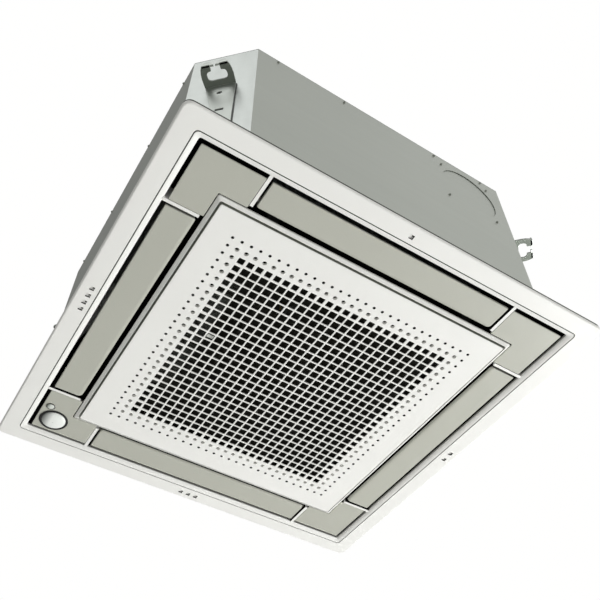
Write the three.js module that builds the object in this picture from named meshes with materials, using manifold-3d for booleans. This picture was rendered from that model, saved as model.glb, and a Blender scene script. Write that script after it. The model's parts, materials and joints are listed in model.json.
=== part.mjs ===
// A ceiling cassette air conditioner for a 600 mm ceiling grid: a galvanised casing that hangs in the
// ceiling void, and a decoration panel below the ceiling, with four air flaps round a perforated
// intake grille.
//
// Millimetres, +Z up. z = 0 is the underside of the ceiling, which the flange of the panel closes against,
// and the Z axis runs through the middle of the casing. The front is the -Y side.

import * as THREE from 'three';
import { mergeVertices } from 'three/addons/utils/BufferGeometryUtils.js';
import Module from 'manifold-3d';

const wasm = await Module();
wasm.setup();

// ---------------------------------------------------------------------------------------------
// Driving dimensions
// ---------------------------------------------------------------------------------------------

// Gaps that every fit uses
const SEAT_GAP = 0.3;
const PIN_GAP = 0.4;
const CUT_PAST = 1;

// Panel, in plan, from its outer edge inward
const PANEL_SIDE = 620;
const PANEL_CORNER_RADIUS = 12;
const FLANGE_BORDER = 25.5;
const BEVEL_RUN = 7.5;
const SHADOW_GAP = 6.5;
const FLAP_WIDTH = 39.5;
const FLAP_TO_DUCT = 2.1;
const DUCT_INNER_WALL = 2;
const GRILLE_SWING_GAP = 3.4;

// Panel, in height
const FLANGE_THICKNESS = 8;
const FLANGE_EDGE_ROUND = 1.7;
const PANEL_HEIGHT = 46;
const BEVEL_RISE = 4;
const FLAP_RECESS = 2;
const GRILLE_PROUD = 3;
const DUCT_OUTER_WALL = 3;
const DUCT_REBATE = 1;
const DECK_BOTTOM = 23;
const DECK_THICKNESS = 3;
const INNER_WALL_FOOT = 6;
const SEAL_THICKNESS = 1.4;

// Corner covers and the ribs that part them from the flaps
const CORNER_LEG = 83.8;
const COVER_TO_RIB = 2;
const RIB_THICKNESS = 4;
const RIB_TO_FLAP = 2.7;
const COVER_TO_GRILLE = 0.5;
const COVER_THICKNESS = 2.5;
const COVER_RIM_HEIGHT = 3;
const COVER_RIM_THICKNESS = 1.5;
const COVER_POST_RADIUS = 4;
const COVER_POST_FROM_END = 9.5;
const COVER_POST_FROM_EDGE = 7.5;

// Flaps
const FLAP_THICKNESS = 2.8;
const FLAP_EDGE_ROUND = 2;
const FLAP_BEAD_RISE = 0.8;
const FLAP_PIN_FROM_EDGE = 5.5;
const FLAP_PIN_RISE = 8;
const FLAP_PIN_RADIUS = 2.4;
const FLAP_CHEEK_THICKNESS = 4;
const FLAP_CHEEK_RADIUS = 4.5;

// Flap stepper motors
const STEPPER_RADIUS = 11.5;
const STEPPER_LENGTH = 18;
const STEPPER_OFFSET_OUT = 5.5;
const STEPPER_OFFSET_UP = 7;
const STEPPER_SHAFT_REACH = 2;
const STEPPER_EAR_REACH = 5;
const STEPPER_EAR_THICKNESS = 1.5;

// Intake grille
const GRILLE_PITCH = 13;
const GRILLE_RIB = 3;
const GRILLE_HOLES = 29;
const GRILLE_STEP_INSET = 6.5;
const GRILLE_FACE_INSET = 1.2;
const GRILLE_SLOPE_DROP = 1;
const GRILLE_RIM_THICKNESS = 2;
const GRILLE_RIM_WIDTH = 10;
const GRILLE_LAYER = 2;
const GRILLE_LAYER_GAP = 0.4;

// Grille hinge, at the back edge
const HINGE_FROM_EDGE = 2.5;
const HINGE_ABOVE_RIM = 1.3;
const HINGE_PIN_RADIUS = 1.1;
const HINGE_HOOK_WALL = 0.9;
const HINGE_HOOK_WIDTH = 10;
const HINGE_LUG_WIDTH = 4;
const HINGE_LUG_REACH = 2;
const HINGE_SPACING = 320;
const HINGE_ARM_THICKNESS = 3;

// Grille latches, at the front edge
const LATCH_SPACING = 300;
const LATCH_WIDTH = 16;
const LATCH_THICKNESS = 2;
const LATCH_TIP_GAP = 0.5;
const LATCH_TAIL = 18;
const LATCH_TAB_LENGTH = 3;
const LATCH_TAB_DROP = 8;
const LATCH_GUIDE_WALL = 2.5;
const LATCH_GUIDE_LENGTH = 7;
const LATCH_ABOVE_FOOT = 0.5;

// Air filter
const FILTER_SIDE = 400;
const FILTER_FRAME_WIDTH = 7;
const FILTER_FRAME_HEIGHT = 3;
const FILTER_MESH_THICKNESS = 0.8;
const FILTER_RIB_WIDTH = 3;
const FILTER_CELLS = 4;

// Presence sensor in the back left corner cover
const SENSOR_FROM_EDGE_X = 24.5;
const SENSOR_FROM_EDGE_Y = 25.5;
const SENSOR_RING_RADIUS = 21;
const SENSOR_RING_LIP = 1;
const SENSOR_HOLE_RADIUS = 19.5;
const SENSOR_DOME_RADIUS = 17.6;
const SENSOR_DOME_BULGE = 5;
const SENSOR_DEPTH = 8;
const LENS_FROM_EDGE_X = 10.5;
const LENS_FROM_EDGE_Y = 51.5;
const LENS_RADIUS = 6.5;
const LENS_STEM_RADIUS = 4.5;
const LENS_BULGE = 1.4;

// Casing
const CEILING_LAP = 22.5;
const CASING_HEIGHT = 260;
const CASING_CHAMFER = 66.7;
const SHEET = 1;
const SHEET_CORNER_GAP = 0.8;
const GROOVE_DEPTH = 0.5;
const GROOVE_WIDTH = 2.5;
const TOP_BEAD_RADIUS = 150;
const TOP_BEAD_LENGTH = 90;
const TOP_BEADS = 8;
const TOP_BEAD_START = 165;
const KNOCKOUT_RADIUS = 51;
const KNOCKOUT_X = 149;
const KNOCKOUT_FROM_TOP = 68;

// Hanger brackets
const BRACKET_STEEL = 2.3;
const BRACKET_WIDTH = 42;
const BRACKET_FOOT_WIDTH = 17;
const BRACKET_LUG_FROM_TOP = 105;
const BRACKET_DROP = 133;
const LUG_REACH = 32;
const LUG_TIP_WIDTH = 35;
const LUG_FOLD_WIDTH = 42;
const LUG_SLOT_WIDTH = 27;
const LUG_SLOT_DEPTH = 13;
const LUG_SLOT_CENTRE = 17.3;
const LUG_SLOT_ROUND = 5;
const LUG_MOUTH = 13;
const LUG_LIP_HEIGHT = 9;
const LUG_LIP_LENGTH = 6.5;
const BRACKET_HOLE_RADIUS = 3.2;
const BRACKET_HOLE_DROP = 22;
const BRACKET_SLOT_LENGTH = 11;
const BRACKET_SLOT_HEIGHT = 5;
const BRACKET_SLOT_DROP = 73;
const BRACKET_SLOT_SHIFT = 3.6;

// Foam liner and drain pan
const FOAM_WALL = 14.3;
const FOAM_TOP = 13;
const FOAM_TOP_HOLE_RADIUS = 96;
const PAN_HEIGHT = 33.7;
const PAN_FLOOR = 13.7;
const PAN_HOLE_RADIUS = 152;
const TROUGH_MARGIN = 4;
const TROUGH_LAP = 2;
const SUMP_SIDE = 72;
const SUMP_FLOOR = 7.7;
const SUMP_FROM_CORNER = 10;

// Coil
const COIL_TO_DUCT = 6.9;
const COIL_DEPTH = 26;
const COIL_BEND_RADIUS = 60;
const COIL_END_SETBACK = 79;
const END_PLATE_THICKNESS = 2;
const END_PLATE_MARGIN = 2;
const RETURN_BEND_RADIUS = 9;
const RETURN_TUBE_RADIUS = 3.5;
const RETURN_TUBE_SIDES = 6;
const RETURN_BENDS = 6;
const RETURN_PITCH = 34;
const ROW_SHIFT = 6;

// Fan, motor and bell mouth
const MOTOR_BRACKET_DROP = 9;
const MOTOR_BRACKET_STEEL = 2.5;
const MOTOR_BRACKET_RADIUS = 82;
const MOTOR_BRACKET_LEGS = 3;
const MOTOR_BRACKET_LEG_SIDE = 16;
const MOTOR_RADIUS = 58;
const MOTOR_HEIGHT = 104;
const MOTOR_BOSS_RADIUS = 26;
const MOTOR_BOSS_HEIGHT = 6;
const SHAFT_RADIUS = 5;
const SHAFT_REACH = 34;
const FAN_TO_COIL = 36;
const FAN_HEIGHT = 143;
const FAN_BLADES = 7;
const FAN_BLADE_THICKNESS = 3.2;
const FAN_BLADE_INNER_RADIUS = 98;
const FAN_BLADE_SWEEP = 38;
const FAN_BLADE_STATIONS = 4;
const FAN_PLATE_THICKNESS = 2.6;
const FAN_HUB_RADIUS = 84;
const FAN_HUB_DEPTH = 45;
const FAN_HUB_FLOOR_RADIUS = 66;
const FAN_HUB_TO_MOTOR = 6;
const FAN_BOSS_RADIUS = 15;
const FAN_BOSS_DEPTH = 12;
const FAN_EYE_RADIUS = 126;
const FAN_SHROUD_HEIGHT = 34;
const FAN_NUT_RADIUS = 9;
const FAN_NUT_HEIGHT = 7;
const BELL_TO_FAN = 3;
const BELL_PLATE_SIDE = 392;
const BELL_PLATE_THICKNESS = 1.8;
const BELL_THROAT_RADIUS = 120;
const BELL_MOUTH_RADIUS = 148;
const BELL_WALL = 2;

// Control box, under the bell mouth plate
const BOX_LENGTH = 220;
const BOX_WIDTH = 62;
const BOX_HEIGHT = 28;
const BOX_STEEL = 1;
const BOX_FROM_EDGE = 2;
const BOX_LID_LIP = 2;
const BOARD_LENGTH = 130;
const BOARD_WIDTH = 46;
const BOARD_THICKNESS = 1.6;
const BOARD_STANDOFF = 3;
const TERMINALS = 5;
const TERMINAL_PITCH = 11;
const TERMINAL_WIDTH = 24;
const TERMINAL_HEIGHT = 15;
const TERMINAL_WALL_HEIGHT = 4;
const TERMINAL_WALL = 1.5;

// Drain pump, float and drain socket, in the back right corner
const PUMP_FROM_SUMP_X = 33.3;
const PUMP_FROM_SUMP_Y = 15.3;
const PUMP_RADIUS = 24;
const PUMP_MOTOR_RADIUS = 19;
const PUMP_BODY_HEIGHT = 30;
const PUMP_MOTOR_HEIGHT = 40;
const PUMP_PLATE_THICKNESS = 2.7;
const PUMP_PLATE_LAP = 4;
const PUMP_INLET_RADIUS = 14;
const PUMP_INLET_WALL = 2;
const PUMP_INLET_DROP = 22;
const IMPELLER_RADIUS = 10.5;
const IMPELLER_HEIGHT = 9;
const IMPELLER_HUB_RADIUS = 4;
const IMPELLER_BLADES = 4;
const IMPELLER_BLADE_THICKNESS = 1.6;
const PUMP_OUTLET_RADIUS = 7;
const PUMP_OUTLET_RISE = 18;
const PUMP_OUTLET_REACH = 7;
const FLOAT_FROM_SUMP_X = 31.3;
const FLOAT_FROM_SUMP_Y = 55.3;
const FLOAT_RADIUS = 9;
const FLOAT_HEIGHT = 12;
const FLOAT_TRAVEL = 8;
const FLOAT_STEM_RADIUS = 2.5;
const FLOAT_STOP_RADIUS = 4.5;
const FLOAT_STOP_THICKNESS = 1.5;
const DRAIN_HOSE_WALL = 2;
const DRAIN_SOCKET_RADIUS = 12.5;
const DRAIN_SOCKET_BORE = 10;
const DRAIN_SOCKET_REACH = 38;
const DRAIN_COLLAR_RADIUS = 17;
const DRAIN_COLLAR_THICKNESS = 3;

// Refrigerant pipes, on the right side
const PIPES_FROM_COIL = 34;
const GAS_PIPE_RADIUS = 6.35;
const GAS_PIPE_RISE = 150;
const LIQUID_PIPE_RADIUS = 3.2;
const LIQUID_PIPE_RISE = 112;
const PIPE_WALL = 0.9;
const PIPE_REACH = 44;
const PIPE_BEND_RADIUS = 18;
const FLARE_NUT_LENGTH = 20;
const FLARE_NUT_WALL = 4.5;
const PIPE_HOLE_GAP = 1.2;
const PIPE_PLATE_WIDTH = 44;
const PIPE_PLATE_HEIGHT = 92;
const PIPE_PLATE_THICKNESS = 1.2;

// How finely round things are faceted
const FINE_SEGMENTS = 24;
const ROUND_SEGMENTS = 14;
const SMALL_SEGMENTS = 8;
const NUT_SIDES = 6;
const SQUARE_SIDES = 4;
const CORNER_SEGMENTS = 2;
const ARC_STEPS = 4;
const TUBE_STEPS = 16;

// ---------------------------------------------------------------------------------------------
// Places worked out from the driving dimensions
// ---------------------------------------------------------------------------------------------

const FULL_TURN = 2 * Math.PI;
const QUARTER = FULL_TURN / 4;
const EIGHTH = Math.PI / 4;

// Plan: half-widths from the middle
const flangeHalf = PANEL_SIDE / 2;
const openingHalf = flangeHalf - FLANGE_BORDER;
const ductOuter = openingHalf - BEVEL_RUN;
const collarHalf = ductOuter + DUCT_OUTER_WALL;
const coverHalf = ductOuter - SHADOW_GAP;
const flapInner = coverHalf - FLAP_WIDTH;
const ductInner = flapInner - FLAP_TO_DUCT;
const innerWallHalf = ductInner - DUCT_INNER_WALL;
const grilleHalf = innerWallHalf - GRILLE_SWING_GAP;
const coverEnd = coverHalf - CORNER_LEG;
const ribOuter = coverEnd - COVER_TO_RIB;
const ribInner = ribOuter - RIB_THICKNESS;
const flapHalf = ribInner - RIB_TO_FLAP;
const casingHalf = flangeHalf - CEILING_LAP;
const casingInner = casingHalf - SHEET - SEAT_GAP;
const chamferDistance = (2 * casingHalf - CASING_CHAMFER) / Math.SQRT2;

// Heights
const flangeBottom = -FLANGE_THICKNESS;
const bevelTop = flangeBottom + BEVEL_RISE;
const flapPlane = flangeBottom + FLAP_RECESS;
const grilleFace = flangeBottom - GRILLE_PROUD;
const casingBottom = PANEL_HEIGHT - FLANGE_THICKNESS;
const casingTop = casingBottom + CASING_HEIGHT;
const casingRoof = casingTop - SHEET;
const frameTop = casingBottom - SEAL_THICKNESS - SEAT_GAP;
const deckTop = DECK_BOTTOM + DECK_THICKNESS;
const coverTop = flapPlane + COVER_THICKNESS;
const panBottom = casingBottom + SEAT_GAP;
const panTop = panBottom + PAN_HEIGHT;
const foamBottom = panTop + SEAT_GAP;
const foamCeiling = casingRoof - SEAT_GAP - FOAM_TOP;
const troughFloor = panBottom + PAN_FLOOR;
const bellPlateBottom = casingBottom - BELL_PLATE_THICKNESS;

// Flap and grille axes, drawn at the front and at the back
const flapAxisY = -(flapInner + FLAP_PIN_FROM_EDGE);
const flapAxisZ = flapPlane + FLAP_PIN_RISE;
const hingeAxisY = grilleHalf - HINGE_FROM_EDGE;
const hingeAxisZ = flapPlane + HINGE_ABOVE_RIM;
const hookRadius = HINGE_PIN_RADIUS + SEAT_GAP + HINGE_HOOK_WALL;
const grilleStepHalf = grilleHalf - GRILLE_STEP_INSET;
const grilleCavityHalf = grilleHalf - GRILLE_RIM_WIDTH;
const grilleRimTop = flapPlane + GRILLE_RIM_THICKNESS;
const grilleBackZ = grilleFace + 2 * GRILLE_LAYER + GRILLE_LAYER_GAP;

// Coil
const coilOuter = ductInner - COIL_TO_DUCT;
const coilInner = coilOuter - COIL_DEPTH;
const coilEnd = coilInner + COIL_DEPTH / 2 - COIL_END_SETBACK;
const coilBottom = troughFloor + SEAT_GAP;
const coilTop = foamCeiling - SEAT_GAP;

// Motor, fan and bell mouth, from the top down
const motorTop = casingRoof - SEAT_GAP - MOTOR_BRACKET_DROP;
const motorBottom = motorTop - MOTOR_HEIGHT;
const hubFloorTop = motorBottom - FAN_HUB_TO_MOTOR;
const fanPlateBottom = hubFloorTop - FAN_PLATE_THICKNESS + FAN_HUB_DEPTH;
const fanBottom = fanPlateBottom + FAN_PLATE_THICKNESS - FAN_HEIGHT;
const fanRadius = coilInner - FAN_TO_COIL;
const bellTop = fanBottom - BELL_TO_FAN;
const shaftBottom = motorBottom - SHAFT_REACH;

// Pipes and drain
const gasPipeZ = coilBottom + GAS_PIPE_RISE;
const liquidPipeZ = coilBottom + LIQUID_PIPE_RISE;
const pumpPlateBottom = panTop + SEAT_GAP;
const pumpBodyTop = pumpPlateBottom + PUMP_PLATE_THICKNESS + PUMP_BODY_HEIGHT;
const pumpInletBottom = pumpPlateBottom - PUMP_INLET_DROP;
const floatBottom = pumpPlateBottom - FLOAT_TRAVEL - 2 * SEAT_GAP - FLOAT_HEIGHT;
const drainZ = pumpPlateBottom + PUMP_PLATE_THICKNESS + PUMP_OUTLET_RISE;
const sumpStart = ribInner + SUMP_FROM_CORNER;
const pumpX = sumpStart + PUMP_FROM_SUMP_X;
const pumpY = sumpStart + PUMP_FROM_SUMP_Y;
const floatX = sumpStart + FLOAT_FROM_SUMP_X;
const floatY = sumpStart + FLOAT_FROM_SUMP_Y;
const pipeY = coilEnd + PIPES_FROM_COIL;

// ---------------------------------------------------------------------------------------------
// Making and joining solids
// ---------------------------------------------------------------------------------------------

const MERGE_DISTANCE = 1e-4;

// A closed mesh as a solid, without the triangles that shrink to nothing when its points are merged.
function solid(geometry) {
  const bare = geometry.clone();
  bare.deleteAttribute('normal');
  bare.deleteAttribute('uv');
  const merged = mergeVertices(bare, MERGE_DISTANCE);
  const index = merged.index.array;
  const kept = [];
  for (let i = 0; i < index.length; i += 3) {
    const [a, b, c] = [index[i], index[i + 1], index[i + 2]];
    if (a !== b && b !== c && c !== a) kept.push(a, b, c);
  }
  return new wasm.Manifold(new wasm.Mesh({
    numProp: 3,
    vertProperties: new Float32Array(merged.attributes.position.array),
    triVerts: new Uint32Array(kept),
  }));
}

function geometryOf(body) {
  const mesh = body.getMesh();
  const geometry = new THREE.BufferGeometry();
  const positions = new Float32Array(mesh.vertProperties);
  geometry.setAttribute('position', new THREE.BufferAttribute(positions, 3));
  geometry.setIndex(new THREE.BufferAttribute(new Uint32Array(mesh.triVerts), 1));
  return geometry;
}

function fuse(...pieces) {
  return pieces.reduce((whole, piece) => whole.add(piece));
}

function cut(whole, ...tools) {
  return tools.reduce((left, tool) => left.subtract(tool), whole);
}

function box(x0, x1, y0, y1, z0, z1) {
  const geometry = new THREE.BoxGeometry(x1 - x0, y1 - y0, z1 - z0);
  geometry.translate((x0 + x1) / 2, (y0 + y1) / 2, (z0 + z1) / 2);
  return solid(geometry);
}

function squareBox(half, z0, z1) {
  return box(-half, half, -half, half, z0, z1);
}

function squareRing(outerHalf, innerHalf, z0, z1) {
  return cut(squareBox(outerHalf, z0, z1), squareBox(innerHalf, z0 - CUT_PAST, z1 + CUT_PAST));
}

// A square frustum, from one half-width at its bottom to another at its top.
function squareTaper(bottomHalf, topHalf, z0, z1) {
  const radii = [topHalf * Math.SQRT2, bottomHalf * Math.SQRT2];
  const geometry = new THREE.CylinderGeometry(...radii, z1 - z0, SQUARE_SIDES);
  geometry.rotateX(QUARTER);
  geometry.rotateZ(EIGHTH);
  geometry.translate(0, 0, (z0 + z1) / 2);
  return solid(geometry);
}

function rod(radius, z0, z1, x = 0, y = 0, segments = ROUND_SEGMENTS) {
  const geometry = new THREE.CylinderGeometry(radius, radius, z1 - z0, segments);
  geometry.rotateX(QUARTER);
  geometry.translate(x, y, (z0 + z1) / 2);
  return solid(geometry);
}

function rodAlongX(radius, x0, x1, y, z, segments = SMALL_SEGMENTS) {
  const geometry = new THREE.CylinderGeometry(radius, radius, x1 - x0, segments);
  geometry.rotateZ(QUARTER);
  geometry.translate((x0 + x1) / 2, y, z);
  return solid(geometry);
}

function rodAlongY(radius, y0, y1, x, z, segments = SMALL_SEGMENTS) {
  const geometry = new THREE.CylinderGeometry(radius, radius, y1 - y0, segments);
  geometry.translate(x, (y0 + y1) / 2, z);
  return solid(geometry);
}

function outline(points) {
  return new THREE.Shape(points.map(([x, y]) => new THREE.Vector2(x, y)));
}

function slab(shape, z0, z1, curveSegments = CORNER_SEGMENTS) {
  const geometry = new THREE.ExtrudeGeometry(shape, { depth: z1 - z0, bevelEnabled: false, curveSegments });
  geometry.translate(0, 0, z0);
  return solid(geometry);
}

// A section drawn in (y, z), run along X.
function runAlongX(shape, x0, x1) {
  const geometry = new THREE.ExtrudeGeometry(shape, { depth: x1 - x0, bevelEnabled: false });
  geometry.translate(0, 0, x0);
  const turn = new THREE.Matrix4();
  turn.makeBasis(new THREE.Vector3(0, 1, 0), new THREE.Vector3(0, 0, 1), new THREE.Vector3(1, 0, 0));
  geometry.applyMatrix4(turn);
  return solid(geometry);
}

// A section drawn in (z, x), run along Y.
function runAlongY(shape, y0, y1, curveSegments = CORNER_SEGMENTS) {
  const geometry = new THREE.ExtrudeGeometry(shape, { depth: y1 - y0, bevelEnabled: false, curveSegments });
  geometry.translate(0, 0, y0);
  const turn = new THREE.Matrix4();
  turn.makeBasis(new THREE.Vector3(0, 0, 1), new THREE.Vector3(1, 0, 0), new THREE.Vector3(0, 1, 0));
  geometry.applyMatrix4(turn);
  return solid(geometry);
}

// A tube that follows a path of straight runs joined by round bends.
function tubeAlong(corners, bendRadius, radius, bore) {
  const path = new THREE.CurvePath();
  let from = corners[0];
  corners.slice(1, -1).forEach((corner, i) => {
    const before = corner.clone().sub(corners[i]).setLength(bendRadius);
    const after = corners[i + 2].clone().sub(corner).setLength(bendRadius);
    const start = corner.clone().sub(before);
    const end = corner.clone().add(after);
    path.add(new THREE.LineCurve3(from, start));
    path.add(new THREE.QuadraticBezierCurve3(start, corner, end));
    from = end;
  });
  path.add(new THREE.LineCurve3(from, corners[corners.length - 1]));
  const section = new THREE.Shape();
  section.absarc(0, 0, radius, 0, FULL_TURN);
  const hollow = new THREE.Path();
  hollow.absarc(0, 0, bore, 0, FULL_TURN, true);
  section.holes.push(hollow);
  const settings = { steps: TUBE_STEPS, extrudePath: path, curveSegments: SMALL_SEGMENTS / 2 };
  return solid(new THREE.ExtrudeGeometry(section, settings));
}

// A profile of [radius, z] points turned about a vertical axis. It closes on the axis or on itself.
function turned(profile, x = 0, y = 0, segments = ROUND_SEGMENTS) {
  const closed = profile[0][0] > 0 ? [...profile, profile[0]] : profile;
  let area = 0;
  closed.forEach(([r, z], i) => {
    const [nextR, nextZ] = closed[(i + 1) % closed.length];
    area += r * nextZ - nextR * z;
  });
  const points = closed.map(([r, z]) => new THREE.Vector2(r, z));
  if (area < 0) points.reverse();
  const geometry = new THREE.LatheGeometry(points, segments);
  geometry.rotateX(QUARTER);
  geometry.translate(x, y, 0);
  return solid(geometry);
}

function roundedSquare(half, radius) {
  const shape = new THREE.Shape();
  const flat = half - radius;
  shape.moveTo(-flat, -half);
  shape.lineTo(flat, -half);
  shape.absarc(flat, -flat, radius, -QUARTER, 0);
  shape.lineTo(half, flat);
  shape.absarc(flat, flat, radius, 0, QUARTER);
  shape.lineTo(-flat, half);
  shape.absarc(-flat, flat, radius, QUARTER, 2 * QUARTER);
  shape.lineTo(-half, -flat);
  shape.absarc(-flat, -flat, radius, 2 * QUARTER, 3 * QUARTER);
  return shape;
}

function octagon(half, leg) {
  const flat = half - leg;
  return outline([
    [-flat, -half], [flat, -half], [half, -flat], [half, flat],
    [flat, half], [-flat, half], [-half, flat], [-half, -flat],
  ]);
}

// The leg of an octagon that lies inside the casing's by the same distance on all eight sides.
function insetLeg(inset) {
  return CASING_CHAMFER - inset * (2 - Math.SQRT2);
}

function insetOctagon(inset, z0, z1) {
  return slab(octagon(casingHalf - inset, insetLeg(inset)), z0, z1);
}

// ---------------------------------------------------------------------------------------------
// Finishes
// ---------------------------------------------------------------------------------------------

function finish(color, roughness, metalness) {
  return () => new THREE.MeshStandardMaterial({ color, roughness, metalness, flatShading: true });
}

const whitePlastic = finish(0xeef0ec, 0.5, 0);
const greyPlastic = finish(0xb8b9b0, 0.5, 0);
const blackPlastic = finish(0x1c1d1b, 0.45, 0);
const lensPlastic = finish(0xc9cfc6, 0.15, 0);
const darkLens = finish(0x2c2f2c, 0.15, 0);
const galvanised = finish(0xabaea8, 0.4, 0.75);
const whiteFoam = finish(0xf2f2ee, 0.9, 0);
const sealFoam = finish(0x33342f, 0.95, 0);
const aluminiumFin = finish(0xb9bcbe, 0.4, 0.9);
const copper = finish(0xb8734a, 0.35, 1);
const brass = finish(0xc0a050, 0.35, 1);
const fanPlastic = finish(0x54585a, 0.5, 0);
const palePlastic = finish(0xd6d8d1, 0.5, 0);
const motorSteel = finish(0x8f938f, 0.45, 0.7);
const filterPlastic = finish(0x4d504c, 0.8, 0);
const boardLaminate = finish(0x2e5b3a, 0.6, 0);
const hoseRubber = finish(0x5a5c58, 0.7, 0);

const cassette = new THREE.Group();

function place(name, body, makeMaterial, turn = 0) {
  const piece = new THREE.Mesh(geometryOf(body), makeMaterial());
  piece.name = name;
  piece.rotation.z = turn;
  cassette.add(piece);
}

// The four sides and the four corners, each a quarter turn on from the one before. What repeats is drawn
// at the front side, and in corners on the same side, an eighth of a turn short of the front left corner.
const SIDES = ['front', 'right', 'back', 'left'];
const CORNERS = ['front_left', 'front_right', 'back_right', 'back_left'];

function sideTurn(side) {
  return SIDES.indexOf(side) * QUARTER;
}

function cornerTurn(corner) {
  return CORNERS.indexOf(corner) * QUARTER;
}

// ---------------------------------------------------------------------------------------------
// Casing
// ---------------------------------------------------------------------------------------------

function casingRoofPlate() {
  const plate = slab(octagon(casingHalf, CASING_CHAMFER), casingRoof, casingTop);
  const grooveFloor = casingTop - GROOVE_DEPTH;
  const past = casingTop + CUT_PAST;
  const inner = TOP_BEAD_RADIUS - GROOVE_WIDTH;
  const ring = turned(
    [[inner, grooveFloor], [TOP_BEAD_RADIUS, grooveFloor], [TOP_BEAD_RADIUS, past], [inner, past]],
    0, 0, FINE_SEGMENTS,
  );
  const spokes = [];
  for (let i = 0; i < TOP_BEADS; i += 1) {
    const geometry = new THREE.BoxGeometry(TOP_BEAD_LENGTH, GROOVE_WIDTH, past - grooveFloor);
    geometry.translate(TOP_BEAD_START + TOP_BEAD_LENGTH / 2, 0, (past + grooveFloor) / 2);
    geometry.rotateZ((i / TOP_BEADS) * FULL_TURN);
    spokes.push(solid(geometry));
  }
  return cut(plate, ring, ...spokes);
}

function casingSideWall(side) {
  const half = casingHalf - CASING_CHAMFER - SHEET_CORNER_GAP;
  const wall = box(-half, half, -casingHalf, -casingHalf + SHEET, casingBottom, casingRoof - SEAT_GAP);
  if (side === 'front') return cut(wall, knockoutGroove());
  if (side === 'right') return cut(wall, ...wallHoles());
  return wall;
}

// A ring pressed into the front wall, round the disc that is knocked out for a fresh air duct.
function knockoutGroove() {
  const inner = KNOCKOUT_RADIUS - GROOVE_WIDTH;
  const floor = -casingHalf + GROOVE_DEPTH;
  const past = -casingHalf - CUT_PAST;
  const section = [
    new THREE.Vector2(inner, past), new THREE.Vector2(KNOCKOUT_RADIUS, past),
    new THREE.Vector2(KNOCKOUT_RADIUS, floor), new THREE.Vector2(inner, floor),
    new THREE.Vector2(inner, past),
  ];
  const geometry = new THREE.LatheGeometry(section, FINE_SEGMENTS);
  geometry.translate(KNOCKOUT_X, 0, casingTop - KNOCKOUT_FROM_TOP);
  return solid(geometry);
}

// Holes for the two refrigerant pipes and the drain socket, drawn at the front like the wall that
// they go through.
function wallHoles() {
  const span = [-casingHalf - CUT_PAST, -casingHalf + SHEET + CUT_PAST];
  return [
    rodAlongY(GAS_PIPE_RADIUS + PIPE_HOLE_GAP, ...span, pipeY, gasPipeZ),
    rodAlongY(LIQUID_PIPE_RADIUS + PIPE_HOLE_GAP, ...span, pipeY, liquidPipeZ),
    rodAlongY(DRAIN_SOCKET_RADIUS + SEAT_GAP, ...span, pumpY, drainZ, ROUND_SEGMENTS),
  ];
}

function casingCornerWall() {
  const half = CASING_CHAMFER / Math.SQRT2 - SHEET_CORNER_GAP;
  return box(-half, half, -chamferDistance, -chamferDistance + SHEET, casingBottom, casingRoof - SEAT_GAP);
}

// A pressed bracket on a corner wall. The hanger rod passes through the T-shaped slot of its lug.
function hangerBracket() {
  const back = -chamferDistance - SEAT_GAP;
  const front = back - BRACKET_STEEL;
  const lugBottom = casingTop - BRACKET_LUG_FROM_TOP;
  const lugTop = lugBottom + BRACKET_STEEL;
  const foot = lugBottom - BRACKET_DROP;
  const half = BRACKET_WIDTH / 2;
  const plate = runAlongY(outline([
    [foot, half - BRACKET_FOOT_WIDTH], [foot, half], [lugTop, half], [lugTop, -half], [lugBottom, -half],
  ].reverse()), front, back);
  const past = [front - CUT_PAST, back + CUT_PAST];
  const hole = rodAlongY(BRACKET_HOLE_RADIUS, ...past, 0, lugBottom - BRACKET_HOLE_DROP);
  const slotZ = lugBottom - BRACKET_SLOT_DROP;
  const slotHalf = BRACKET_SLOT_LENGTH / 2;
  const slot = box(
    BRACKET_SLOT_SHIFT - slotHalf, BRACKET_SLOT_SHIFT + slotHalf, ...past,
    slotZ - BRACKET_SLOT_HEIGHT / 2, slotZ + BRACKET_SLOT_HEIGHT / 2,
  );
  const tip = back - LUG_REACH;
  const foldHalf = LUG_FOLD_WIDTH / 2;
  const tipHalf = LUG_TIP_WIDTH / 2;
  const lugShape = outline([[-tipHalf, tip], [tipHalf, tip], [foldHalf, back], [-foldHalf, back]]);
  const lug = slab(lugShape, lugBottom, lugTop);
  const mouthHalf = LUG_MOUTH / 2;
  const lipInner = mouthHalf + BRACKET_STEEL;
  const lips = [-1, 1].map((hand) => box(
    Math.min(hand * mouthHalf, hand * lipInner), Math.max(hand * mouthHalf, hand * lipInner),
    tip, tip + LUG_LIP_LENGTH, lugBottom, lugTop + LUG_LIP_HEIGHT,
  ));
  return cut(fuse(plate, lug, ...lips), hole, slot, lugSlot(back, tip, lugBottom, lugTop));
}

function lugSlot(back, tip, lugBottom, lugTop) {
  const centre = -chamferDistance - LUG_SLOT_CENTRE;
  const halfX = LUG_SLOT_WIDTH / 2;
  const halfY = LUG_SLOT_DEPTH / 2;
  const round = LUG_SLOT_ROUND;
  const shape = new THREE.Shape();
  shape.absarc(halfX - round, centre - halfY + round, round, -QUARTER, 0);
  shape.absarc(halfX - round, centre + halfY - round, round, 0, QUARTER);
  shape.absarc(round - halfX, centre + halfY - round, round, QUARTER, 2 * QUARTER);
  shape.absarc(round - halfX, centre - halfY + round, round, 2 * QUARTER, 3 * QUARTER);
  const mouth = box(
    -LUG_MOUTH / 2, LUG_MOUTH / 2, tip - CUT_PAST, centre, lugBottom - CUT_PAST, lugTop + CUT_PAST,
  );
  return fuse(slab(shape, lugBottom - CUT_PAST, lugTop + CUT_PAST), mouth);
}

// ---------------------------------------------------------------------------------------------
// Foam liner, drain pan and coil
// ---------------------------------------------------------------------------------------------

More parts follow.
